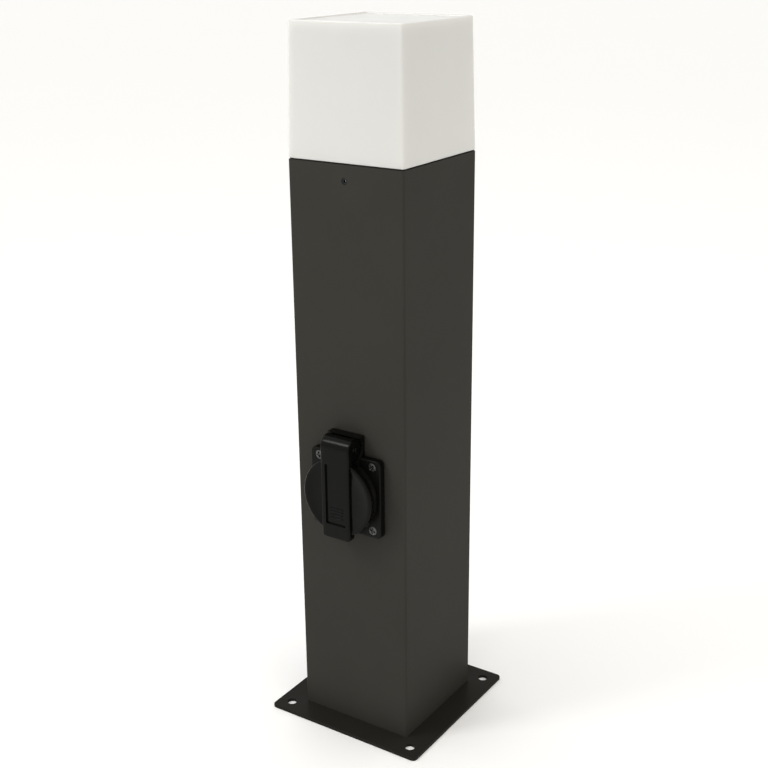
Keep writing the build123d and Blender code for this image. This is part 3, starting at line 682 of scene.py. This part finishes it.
class BOLLARD_OT_socket(bpy.types.Operator):
    """Finish the socket, its insert, contacts, gasket and rear cover"""

    bl_idname = "bollard.socket"
    bl_label = "Power socket"

    def execute(self, context):
        colour = tuple(context.scene.bollard_finish.plastic_colour)
        housing = moulded_plastic("socket_housing_plastic", colour, roughness=0.34)
        dress("socket_housing", housing, edge=0.25 * MM)
        insert = moulded_plastic("socket_insert_plastic", shade_of(colour, 0.9), roughness=0.42)
        dress("socket_insert", insert, edge=0.3 * MM)
        cover = moulded_plastic("rear_cover_plastic", shade_of(colour, 1.1), roughness=0.45)
        dress("socket_cover", cover)
        dress("socket_gasket", soft_rubber("flange_gasket_rubber", (0.014, 0.014, 0.014)))
        dress("pin_contacts", plated_metal("contact_brass", (0.70, 0.52, 0.24), roughness=0.25))
        tin = plated_metal("earth_strap_tin", (0.62, 0.60, 0.56), roughness=0.30)
        dress("earth_strap", tin, edge=0.2 * MM)
        zinc = plated_metal("contact_screw_zinc", (0.60, 0.61, 0.63), roughness=0.3)
        dress("contact_screws", zinc)
        return {"FINISHED"}


class BOLLARD_OT_flange_screws(bpy.types.Operator):
    """Make the four screws of the socket flange"""

    bl_idname = "bollard.flange_screws"
    bl_label = "Flange screws"

    def execute(self, context):
        low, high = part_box("flange_screws")
        front = FACE_Y - low.y
        reach = high.y - FACE_Y
        across = high.x - SCREW_HEAD
        up = (high.z - low.z) / 2 - SCREW_HEAD
        middle = (high.z + low.z) / 2 - SOCKET_Z
        mesh = bmesh.new()
        for sx in (-1, 1):
            for sz in (-1, 1):
                centre = facing(sx * across, middle + sz * up, 0.0)
                turn = math.radians(17 * sx + 31 * sz)
                self.one_screw(mesh, centre, front, reach, turn)
        colour = (0.10, 0.10, 0.098)
        steel = plated_metal("flange_screw_black", colour, roughness=0.26, scratch=0.4)
        name = "socket_flange_screws"
        new_piece(name, mesh, steel, "post", ("flange_screws",), 28.0)
        return {"FINISHED"}

    def one_screw(self, mesh, centre, front, reach, turn):
        """A raised countersunk head with a cross recess, on a shank with rings for a thread."""
        head = self.head(centre, front, turn)
        shank = self.shank(centre, front, reach)
        skin(mesh, list(reversed(shank)) + head)

    def head(self, centre, front, turn):
        """Rings of the head from its rim inwards, pushed in where the cross is."""
        dome_height, rim_drop = 0.25 * MM, 0.12 * MM
        recess_depth, recess_taper = 1.1 * MM, 0.45
        levels = [1.0, 0.97, 0.90, 0.80, 0.70, 0.62, 0.55, 0.48, 0.40, 0.32, 0.24, 0.16, 0.08]
        rings = []
        for level in levels:
            dome = -dome_height * level ** 2
            if level == 1.0:
                dome -= rim_drop
            ring = []
            for i in range(SCREW_STEPS):
                angle = 2 * math.pi * i / SCREW_STEPS
                x = math.cos(angle) * SCREW_HEAD * level
                z = math.sin(angle) * SCREW_HEAD * level
                rx = x * math.cos(turn) + z * math.sin(turn)
                rz = -x * math.sin(turn) + z * math.cos(turn)
                slot = max(self.arm(rx, rz), self.arm(rz, rx))
                depth = slot * (recess_depth * (1.0 - recess_taper * level))
                ring.append(centre + Vector((x, -(front + dome - depth), z)))
            rings.append(ring)
        return rings

    def shank(self, centre, front, reach):
        """Rings of the shank from under the head to its tip."""
        profile = [(SCREW_HEAD, front - 0.7 * MM), (SCREW_SHANK * 1.1, front - 1.9 * MM)]
        thread_end = -reach + 1.2 * MM
        place = front - 2.2 * MM
        while place > thread_end:
            profile.append((SCREW_SHANK * 0.82, place))
            profile.append((SCREW_SHANK, place - 0.25 * MM))
            place -= 0.5 * MM
        profile.append((SCREW_SHANK * 0.8, thread_end))
        profile.append((SCREW_SHANK * 0.3, -reach))
        rings = []
        for radius, out in profile:
            ring = []
            for i in range(SCREW_STEPS):
                angle = 2 * math.pi * i / SCREW_STEPS
                point = Vector((math.cos(angle) * radius, -out, math.sin(angle) * radius))
                ring.append(centre + point)
            rings.append(ring)
        return rings

    def arm(self, along, across):
        """How far a point is inside one arm of the cross, from 0 to 1."""
        wide = 0.17 * SCREW_HEAD
        reach = 0.62 * SCREW_HEAD
        side = min(1.0, max(0.0, (wide - abs(across)) / (0.05 * SCREW_HEAD) + 0.5))
        end = min(1.0, max(0.0, (reach - abs(along)) / (0.10 * SCREW_HEAD) + 0.5))
        return side * end


class BOLLARD_OT_lid(bpy.types.Operator):
    """Make the sprung lid with its hood and band, its seal and its pin, and finish the spring"""

    bl_idname = "bollard.lid"
    bl_label = "Socket lid"

    def execute(self, context):
        sizes = context.scene.bollard_sizes
        colour = tuple(context.scene.bollard_finish.plastic_colour)
        steps = sizes.round_steps
        gasket_low, gasket_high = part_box("lid_gasket")
        band_out = FACE_Y - LID_LOW.y
        groove = FACE_Y - gasket_low.y
        seal = (gasket_high.x - SEAL_WIDTH, gasket_high.x)
        disc_back = groove - GROOVE_DEPTH
        mesh = bmesh.new()
        self.disc(mesh, disc_back, groove, seal, steps * 2)
        self.band(mesh, sizes, band_out, disc_back)
        self.cheeks(mesh, steps)
        self.ribs(mesh, band_out - sizes.panel_depth)
        gloss = moulded_plastic(
            "lid_plastic", shade_of(colour, 0.7), roughness=0.16, grain_depth=0.00002, gloss=0.09
        )
        new_piece("sprung_lid", mesh, gloss, "lid", ("socket_lid",), 36.0)

        mesh = self.lid_seal(seal, groove, FACE_Y - gasket_high.y, steps)
        rubber = soft_rubber("lid_seal_rubber", (0.02, 0.02, 0.02))
        new_piece("lid_seal", mesh, rubber, "lid", ("lid_gasket",))

        mesh = self.pin()
        steel = plated_metal("hinge_pin_black", (0.03, 0.03, 0.03), roughness=0.35)
        new_piece("lid_hinge_pin", mesh, steel, "post", ("hinge_pin",))
        spring = plated_metal("spring_wire_steel", (0.50, 0.50, 0.50), roughness=0.30)
        dress("lid_spring", spring)
        return {"FINISHED"}

    def disc(self, mesh, back, groove, seal, steps):
        """The round lid: a groove for the seal behind, a round rim and a shallow step in front."""
        radius = LID_HIGH.x
        front = back + DISC_THICKNESS
        edge = 0.95 * MM
        gap = 0.05 * MM
        seal_in, seal_out = seal
        profile = [(0.0, back), (seal_in - gap, back), (seal_in - gap, groove)]
        profile += [(seal_out + gap, groove), (seal_out + gap, back)]
        profile += [(radius - 0.4 * MM, back), (radius - 0.1 * MM, back + 0.15 * MM)]
        profile += [(radius, back + 0.45 * MM)]
        profile += arc((radius - edge, front - edge), edge, 0, 90, 7)
        profile += [(radius - 2.6 * MM, front), (radius - 2.9 * MM, front - 0.12 * MM)]
        profile += [(radius * 0.5, front - 0.16 * MM), (0.0, front - 0.16 * MM)]
        lathe(mesh, profile, facing(0.0, 0.0, 0.0), (0, -1, 0), (1, 0, 0), steps)

    def lid_seal(self, seal, groove, lip, steps):
        """A ring with a round lip towards the socket."""
        seal_in, seal_out = seal
        middle = (seal_out + seal_in) / 2
        width = (seal_out - seal_in) / 2
        profile = [(seal_in, groove), (seal_out, groove)]
        profile += arc((middle, lip + width), width, 0, -180, 10)
        mesh = bmesh.new()
        lathe(mesh, profile, facing(0.0, 0.0, 0.0), (0, -1, 0), (1, 0, 0), steps)
        return mesh

    def pin(self):
        """The hinge pin, with chamfered ends."""
        low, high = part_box("hinge_pin")
        radius = (high.z - low.z) / 2
        chamfer = 0.4 * MM
        profile = [(0.0, low.x), (radius - chamfer, low.x), (radius, low.x + chamfer)]
        profile += [(radius, high.x - chamfer), (radius - chamfer, high.x), (0.0, high.x)]
        mesh = bmesh.new()
        lathe(mesh, profile, (0, HINGE.y, HINGE.z), (1, 0, 0), (0, 1, 0), 32)
        return mesh

    def band(self, mesh, sizes, front, back):
        """The raised band: sunk panel, round lower corners and a hood over the hinge."""
        low = LID_LOW.z - SOCKET_Z
        hinge_up = HINGE.z - SOCKET_Z
        window = hinge_up - 6.5 * MM
        full = front - back - 1.0 * MM
        stations = []
        for i in range(9):
            angle = math.pi / 2 * i / 8
            up = low + BAND_CORNER * (1 - math.cos(angle))
            wide = BAND_HALF - BAND_CORNER + BAND_CORNER * math.sin(angle)
            stations.append((up, wide, 0, full))
        stations += [(PANEL_LOW - 1.0 * MM, BAND_HALF, 0, full), (PANEL_LOW, BAND_HALF, 0, full)]
        stations.append((PANEL_LOW + PANEL_WALL, BAND_HALF, 1, full))
        for i in range(1, 8):
            up = PANEL_LOW + (PANEL_HIGH - PANEL_LOW) * i / 8
            stations.append((up, BAND_HALF, 1, full))
        stations.append((PANEL_HIGH - PANEL_WALL, BAND_HALF, 1, full))
        stations.append((PANEL_HIGH, BAND_HALF, 0, full))
        stations.append((window - 0.3 * MM, BAND_HALF, 0, full))
        stations.append((window + 1.9 * MM, BAND_HALF, 0, HOOD_WALL))
        stations.append((hinge_up - 2 * MM, BAND_HALF, 0, HOOD_WALL))
        edge = sizes.band_edge
        loops = []
        for up, wide, sunk, thick in stations:
            lift = 0.0
            if up < low + BAND_CORNER:
                lift = edge * (1 - min(1.0, (up - low) / edge)) ** 2
            outline = self.outline(wide, thick, edge, sunk * sizes.panel_depth, lift)
            loops.append([facing(across, up, front - depth) for across, depth in outline])
        for i in range(15):
            angle = math.radians(90.0 * i / 14)
            loops.append(self.hood_section(angle, edge, hinge_up, front))
        skin(mesh, loops)

    def outline(self, wide, thick, edge, sunk, lift=0.0):
        """Section of the band as (across, depth behind the front), from +X to -X."""
        right = [(wide, thick), (wide, edge + lift)]
        for turn in range(1, 6):
            angle = turn * math.pi / 12 + math.pi / 12
            across = wide - edge + edge * math.cos(angle)
            right.append((across, edge - edge * math.sin(angle) + lift))
        reach = min(BAND_HALF - PANEL_MARGIN, wide - edge * 1.2)
        right += [(reach, lift), (reach - PANEL_WALL, sunk + lift), (reach * 0.4, sunk + lift)]
        return right + [(-across, depth) for across, depth in reversed(right)]

    def hood_section(self, angle, edge, hinge_up, front):
        """A section turned about the hinge: 0 faces out and 90 degrees faces up."""
        hood = LID_HIGH.z - HINGE.z
        points = []
        for across, depth in self.outline(BAND_HALF, HOOD_WALL, edge, 0.0):
            radius = hood - depth
            out = front - hood + radius * math.cos(angle)
            points.append(facing(across, hinge_up + radius * math.sin(angle), out))
        return points

    def cheeks(self, mesh, steps):
        """The two discs that hold the pin, just inside the hood's ends."""
        outer, inner = CHEEK_OUTER, CHEEK_INNER
        radius = LID_HIGH.z - HINGE.z - 0.04 * MM
        bore = 1.3 * MM
        edge = 0.5 * MM
        chamfer = 0.3 * MM
        for side in (-1, 1):
            profile = [(bore, inner), (radius, inner)]
            profile += arc((radius - edge, outer - edge), edge, 0, 90, 5)
            profile += [(bore + chamfer, outer), (bore, outer - chamfer)]
            lathe(mesh, profile, (0, HINGE.y, HINGE.z), (side, 0, 0), (0, 1, 0), steps)

    def ribs(self, mesh, out):
        """Plain raised grip lines on the sunk panel."""
        rise = 0.45 * MM
        half, thin = 4.6 * MM, 0.42 * MM
        for line in range(4):
            up = (RIB_LOWEST + RIB_PITCH * line) * MM
            loops = []
            for depth, inset in ((-0.3 * MM, 0.0), (rise * 0.6, 0.02 * MM), (rise, 0.18 * MM)):
                loop = []
                for end in (1, -1):
                    for i in range(9):
                        angle = math.radians(-90 * end + 22.5 * i)
                        across = end * (half - thin) + (thin - inset) * math.cos(angle)
                        rib_up = up + (thin - inset) * math.sin(angle)
                        loop.append(facing(across, rib_up, out + depth))
                loops.append(loop)
            skin(mesh, loops)


class BOLLARD_OT_lamp(bpy.types.Operator):
    """Finish the bracket, the lampholder and the lamp, with a real thread and globe"""

    bl_idname = "bollard.lamp"
    bl_label = "Lamp and holder"

    def execute(self, context):
        colour = (0.58, 0.59, 0.61)
        zinc = plated_metal("bracket_zinc", colour, roughness=0.34, scratch=0.3, turned=False)
        dress("lamp_bracket", zinc)
        steel = plated_metal("bracket_screw_steel", (0.44, 0.435, 0.42), roughness=0.28)
        dress("bracket_screws", steel)
        dress("bracket_nuts", steel, edge=0.2 * MM)
        white = moulded_plastic("holder_plastic", (0.62, 0.61, 0.58), roughness=0.32, gloss=0.5)
        dress("lampholder_body", white, edge=0.3 * MM)
        brass = plated_metal("holder_brass", (0.72, 0.54, 0.25), roughness=0.28)
        dress("lampholder_shell", brass)
        dress("lampholder_contact", brass)
        dress("lampholder_screws", steel)
        nickel = plated_metal("lamp_cap_nickel", (0.66, 0.65, 0.62), roughness=0.18)
        dress("lamp_contact", nickel)
        self.threaded_cap(nickel)
        body = moulded_plastic("lamp_body_plastic", (0.72, 0.72, 0.70), roughness=0.28, gloss=0.5)
        dress("lamp_body", body, edge=0.3 * MM)
        mask = moulded_plastic("led_board_mask", (0.72, 0.72, 0.69), roughness=0.40, gloss=0.5)
        dress("lamp_led_board", mask)
        self.globe()
        return {"FINISHED"}

    def threaded_cap(self, material):
        """Screw cap with a rounded thread that climbs as it turns."""
        low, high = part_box("lamp_cap")
        length = high.z - low.z
        major = high.x
        minor = major - 1.0 * MM
        pitch = 3.6 * MM
        steps = 72
        rows = 60
        loops = []
        for row in range(rows + 1):
            up = length * row / rows
            fade = max(0.0, min(1.0, up / (3 * MM), (length - up) / (4 * MM)))
            ring = []
            for i in range(steps):
                angle = 2 * math.pi * i / steps
                wave = 0.5 + 0.5 * math.cos(2 * math.pi * (up / pitch - i / steps))
                radius = minor + (major - minor) * wave * fade
                x, y = radius * math.cos(angle), radius * math.sin(angle)
                ring.append(Vector((x, y, low.z + up)))
            loops.append(ring)
        bore = minor - 0.4 * MM
        for up in (length, 2 * MM):
            ring = []
            for i in range(steps):
                angle = 2 * math.pi * i / steps
                ring.append(Vector((bore * math.cos(angle), bore * math.sin(angle), low.z + up)))
            loops.append(ring)
        mesh = bmesh.new()
        skin(mesh, loops)
        new_piece("lamp_screw_cap", mesh, material, "post", ("lamp_cap",), 60.0)

    def globe(self):
        """Frosted globe, open at its mouth."""
        low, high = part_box("lamp_globe")
        radius = (high.x - low.x) / 2
        centre_z = high.z - radius
        wall = 1.2 * MM
        top = 89.9
        mouth = math.degrees(math.asin((low.z - centre_z) / radius))
        inner_mouth = math.degrees(math.asin((low.z - centre_z) / (radius - wall)))
        profile = arc((0.0, centre_z), radius, mouth, top, 28)
        profile = [(max(r, 0.0), z) for r, z in profile] + [(0.0, high.z)]
        inside = arc((0.0, centre_z), radius - wall, inner_mouth, top, 28)
        outline = [(0.0, high.z - wall)] + list(reversed(inside)) + profile
        mesh = bmesh.new()
        lathe(mesh, outline, (0, 0, 0), (0, 0, 1), (1, 0, 0), 96)
        frosted = opal_acrylic("lamp_globe_opal", (0.82, 0.81, 0.78), roughness=0.42)
        name = "lamp_frosted_globe"
        new_piece(name, mesh, frosted, "post", ("lamp_globe",), 60.0)


class BOLLARD_OT_wiring(bpy.types.Operator):
    """Finish the terminal block, the earth lug and the wires"""

    bl_idname = "bollard.wiring"
    bl_label = "Wiring"

    def execute(self, context):
        nylon = moulded_plastic("block_nylon", (0.60, 0.61, 0.60), roughness=0.36, gloss=0.5)
        dress("terminal_block", nylon, edge=0.3 * MM)
        dress("terminal_barrels", plated_metal("barrel_brass", (0.72, 0.55, 0.26), roughness=0.28))
        zinc = plated_metal("terminal_screw_zinc", (0.60, 0.61, 0.63), roughness=0.30)
        dress("terminal_screws", zinc)
        dress("block_screws", plated_metal("block_screw_steel", (0.60, 0.59, 0.57), roughness=0.26))
        tin = plated_metal("earth_lug_tin", (0.64, 0.62, 0.58), roughness=0.32)
        dress("earth_lug", tin, edge=0.15 * MM)
        brown = wire_sleeve("live_brown", (0.10, 0.035, 0.015))
        blue = wire_sleeve("neutral_blue", (0.012, 0.09, 0.36))
        earth = wire_sleeve("earth_green_yellow", (0.03, 0.26, 0.03), (0.72, 0.62, 0.03))
        for node, material in (
            ("socket_live_wire", brown),
            ("lamp_live_wire", brown),
            ("socket_neutral_wire", blue),
            ("lamp_neutral_wire", blue),
            ("socket_earth_wire", earth),
            ("earth_link_wire", earth),
        ):
            dress(node, material)
        return {"FINISHED"}


# ---------------------------------------------------------------- stage


# Camera: azimuth and elevation in degrees, roll in radians, target in metres.
CAMERA_AZIMUTH = 33.694
CAMERA_ELEVATION = 19.856
CAMERA_ROLL = -0.0104
CAMERA_TARGET = (0.0, 0.0, 0.2231)
CAMERA_SHIFT = (-0.0021, 0.0032)

# Lights: what they face, the top light's power, and the room's light by height and by side.
LIGHT_TARGET = (0.0, 0.0, 0.22)
TOP_POWER = 3.0
LOW_LIGHT = 0.84
HIGH_LIGHT = 1.12
LEFT_LIGHT = (1.08, 1.085, 1.09, 1.0)
RIGHT_LIGHT = (0.84, 0.81, 0.75, 1.0)
SIDE_REACH = 0.8
FLOOR_SIZE = 40.0


class BOLLARD_OT_stage(bpy.types.Operator):
    """Make the floor, the soft lights and the camera"""

    bl_idname = "bollard.stage"
    bl_label = "Stage"

    def execute(self, context):
        stage = context.scene.bollard_stage
        self.floor()
        self.world(stage.room_light)
        for name, place, size, power, colour in (
            ("key_light", (-0.55, -0.68, 0.95), (0.24, 0.30), stage.key_power, (1.0, 0.99, 0.97)),
            ("fill_light", (1.6, -0.5, 1.2), (1.0, 1.2), stage.fill_power, (1.0, 0.95, 0.86)),
            ("top_light", (0.0, 0.3, 2.2), (1.6, 1.6), TOP_POWER, (1.0, 1.0, 1.0)),
        ):
            self.soft_light(name, place, size, power, colour)
        self.camera(stage)
        context.scene.view_settings.view_transform = "Standard"
        return {"FINISHED"}

    def floor(self):
        """A wide floor, a hair below the base plate."""
        mesh = bmesh.new()
        bmesh.ops.create_grid(mesh, x_segments=8, y_segments=8, size=FLOOR_SIZE)
        data = bpy.data.meshes.new("studio_floor")
        mesh.to_mesh(data)
        mesh.free()
        data.materials.append(pale_floor("floor_paper"))
        floor = bpy.data.objects.new("studio_floor", data)
        floor.location.z = -0.05 * MM
        bpy.context.scene.collection.objects.link(floor)

    def world(self, strength):
        """Even light from all round, brighter from above and warmer from the right."""
        world = bpy.data.worlds.new("studio_room")
        world.use_nodes = True
        tree = world.node_tree
        back = tree.nodes["Background"]
        back.inputs["Strength"].default_value = strength
        place = tree.nodes.new("ShaderNodeTexCoord")
        parts = tree.nodes.new("ShaderNodeSeparateXYZ")
        height = tree.nodes.new("ShaderNodeMapRange")
        height.inputs["To Min"].default_value = LOW_LIGHT
        height.inputs["To Max"].default_value = HIGH_LIGHT
        shade = tree.nodes.new("ShaderNodeMix")
        shade.data_type = "RGBA"
        shade.inputs[6].default_value = LEFT_LIGHT
        shade.inputs[7].default_value = RIGHT_LIGHT
        side = tree.nodes.new("ShaderNodeMapRange")
        side.inputs["From Min"].default_value = -SIDE_REACH
        side.inputs["From Max"].default_value = SIDE_REACH
        lit = tree.nodes.new("ShaderNodeVectorMath")
        lit.operation = "SCALE"
        link = tree.links.new
        link(place.outputs["Generated"], parts.inputs[0])
        link(parts.outputs["Z"], height.inputs["Value"])
        link(parts.outputs["X"], side.inputs["Value"])
        link(side.outputs[0], shade.inputs[0])
        link(shade.outputs[2], lit.inputs[0])
        link(height.outputs[0], lit.inputs["Scale"])
        link(lit.outputs[0], back.inputs["Color"])
        bpy.context.scene.world = world

    def soft_light(self, name, place, size, power, colour):
        """A rectangular light that faces the middle of the post."""
        light = bpy.data.lights.new(name, "AREA")
        light.shape = "RECTANGLE"
        light.size, light.size_y = size
        light.energy = power
        light.color = colour
        lamp = bpy.data.objects.new(name, light)
        lamp.location = place
        aim = Vector(LIGHT_TARGET) - Vector(place)
        lamp.rotation_mode = "QUATERNION"
        lamp.rotation_quaternion = aim.to_track_quat("-Z", "Y")
        bpy.context.scene.collection.objects.link(lamp)

    def camera(self, stage):
        """The camera, by its angles about the point that it looks at."""
        azimuth, elevation = math.radians(CAMERA_AZIMUTH), math.radians(CAMERA_ELEVATION)
        target = Vector(CAMERA_TARGET)
        back = Vector(
            (
                math.sin(azimuth) * math.cos(elevation),
                -math.cos(azimuth) * math.cos(elevation),
                math.sin(elevation),
            )
        )
        right = Vector((math.cos(azimuth), math.sin(azimuth), 0.0))
        up = back.cross(right)
        side = right * math.cos(CAMERA_ROLL) + up * math.sin(CAMERA_ROLL)
        above = back.cross(side)
        data = bpy.data.cameras.new("camera")
        data.sensor_width = 36.0
        data.lens = stage.lens
        data.shift_x, data.shift_y = CAMERA_SHIFT
        data.clip_start = 0.01
        data.clip_end = 50.0
        camera = bpy.data.objects.new("camera", data)
        turn = Matrix((side, above, back)).transposed().to_4x4()
        camera.matrix_world = Matrix.Translation(target + back * stage.camera_distance) @ turn
        bpy.context.scene.collection.objects.link(camera)
        bpy.context.scene.camera = camera


# ---------------------------------------------------------------- add-on


PIECES = (
    BOLLARD_OT_base,
    BOLLARD_OT_post,
    BOLLARD_OT_cap,
    BOLLARD_OT_socket,
    BOLLARD_OT_flange_screws,
    BOLLARD_OT_lid,
    BOLLARD_OT_lamp,
    BOLLARD_OT_wiring,
)


class BOLLARD_PT_panel(bpy.types.Panel):
    """Settings and pieces of the bollard"""

    bl_idname = "BOLLARD_PT_panel"
    bl_label = "Bollard"
    bl_space_type = "VIEW_3D"
    bl_region_type = "UI"
    bl_category = "Bollard"

    def draw(self, context):
        layout = self.layout
        for group in (
            context.scene.bollard_sizes,
            context.scene.bollard_finish,
            context.scene.bollard_stage,
        ):
            box = layout.box()
            for name in group.bl_rna.properties.keys():
                if name not in ("rna_type", "name"):
                    box.prop(group, name)
        for piece in (*PIECES, BOLLARD_OT_stage):
            layout.operator(piece.bl_idname)


CLASSES = (
    BollardFinishSettings,
    BollardSizeSettings,
    BollardStageSettings,
    *PIECES,
    BOLLARD_OT_stage,
    BOLLARD_PT_panel,
)


def register():
    for cls in CLASSES:
        bpy.utils.register_class(cls)
    bpy.types.Scene.bollard_finish = PointerProperty(type=BollardFinishSettings)
    bpy.types.Scene.bollard_sizes = PointerProperty(type=BollardSizeSettings)
    bpy.types.Scene.bollard_stage = PointerProperty(type=BollardStageSettings)


def unregister():
    del bpy.types.Scene.bollard_finish
    del bpy.types.Scene.bollard_sizes
    del bpy.types.Scene.bollard_stage
    for cls in reversed(CLASSES):
        bpy.utils.unregister_class(cls)


def main():
    register()
    bpy.ops.bollard.stage()
    bpy.ops.bollard.base()
    bpy.ops.bollard.post()
    bpy.ops.bollard.cap()
    bpy.ops.bollard.socket()
    bpy.ops.bollard.flange_screws()
    bpy.ops.bollard.lid()
    bpy.ops.bollard.lamp()
    bpy.ops.bollard.wiring()


if __name__ == "__main__":
    main()
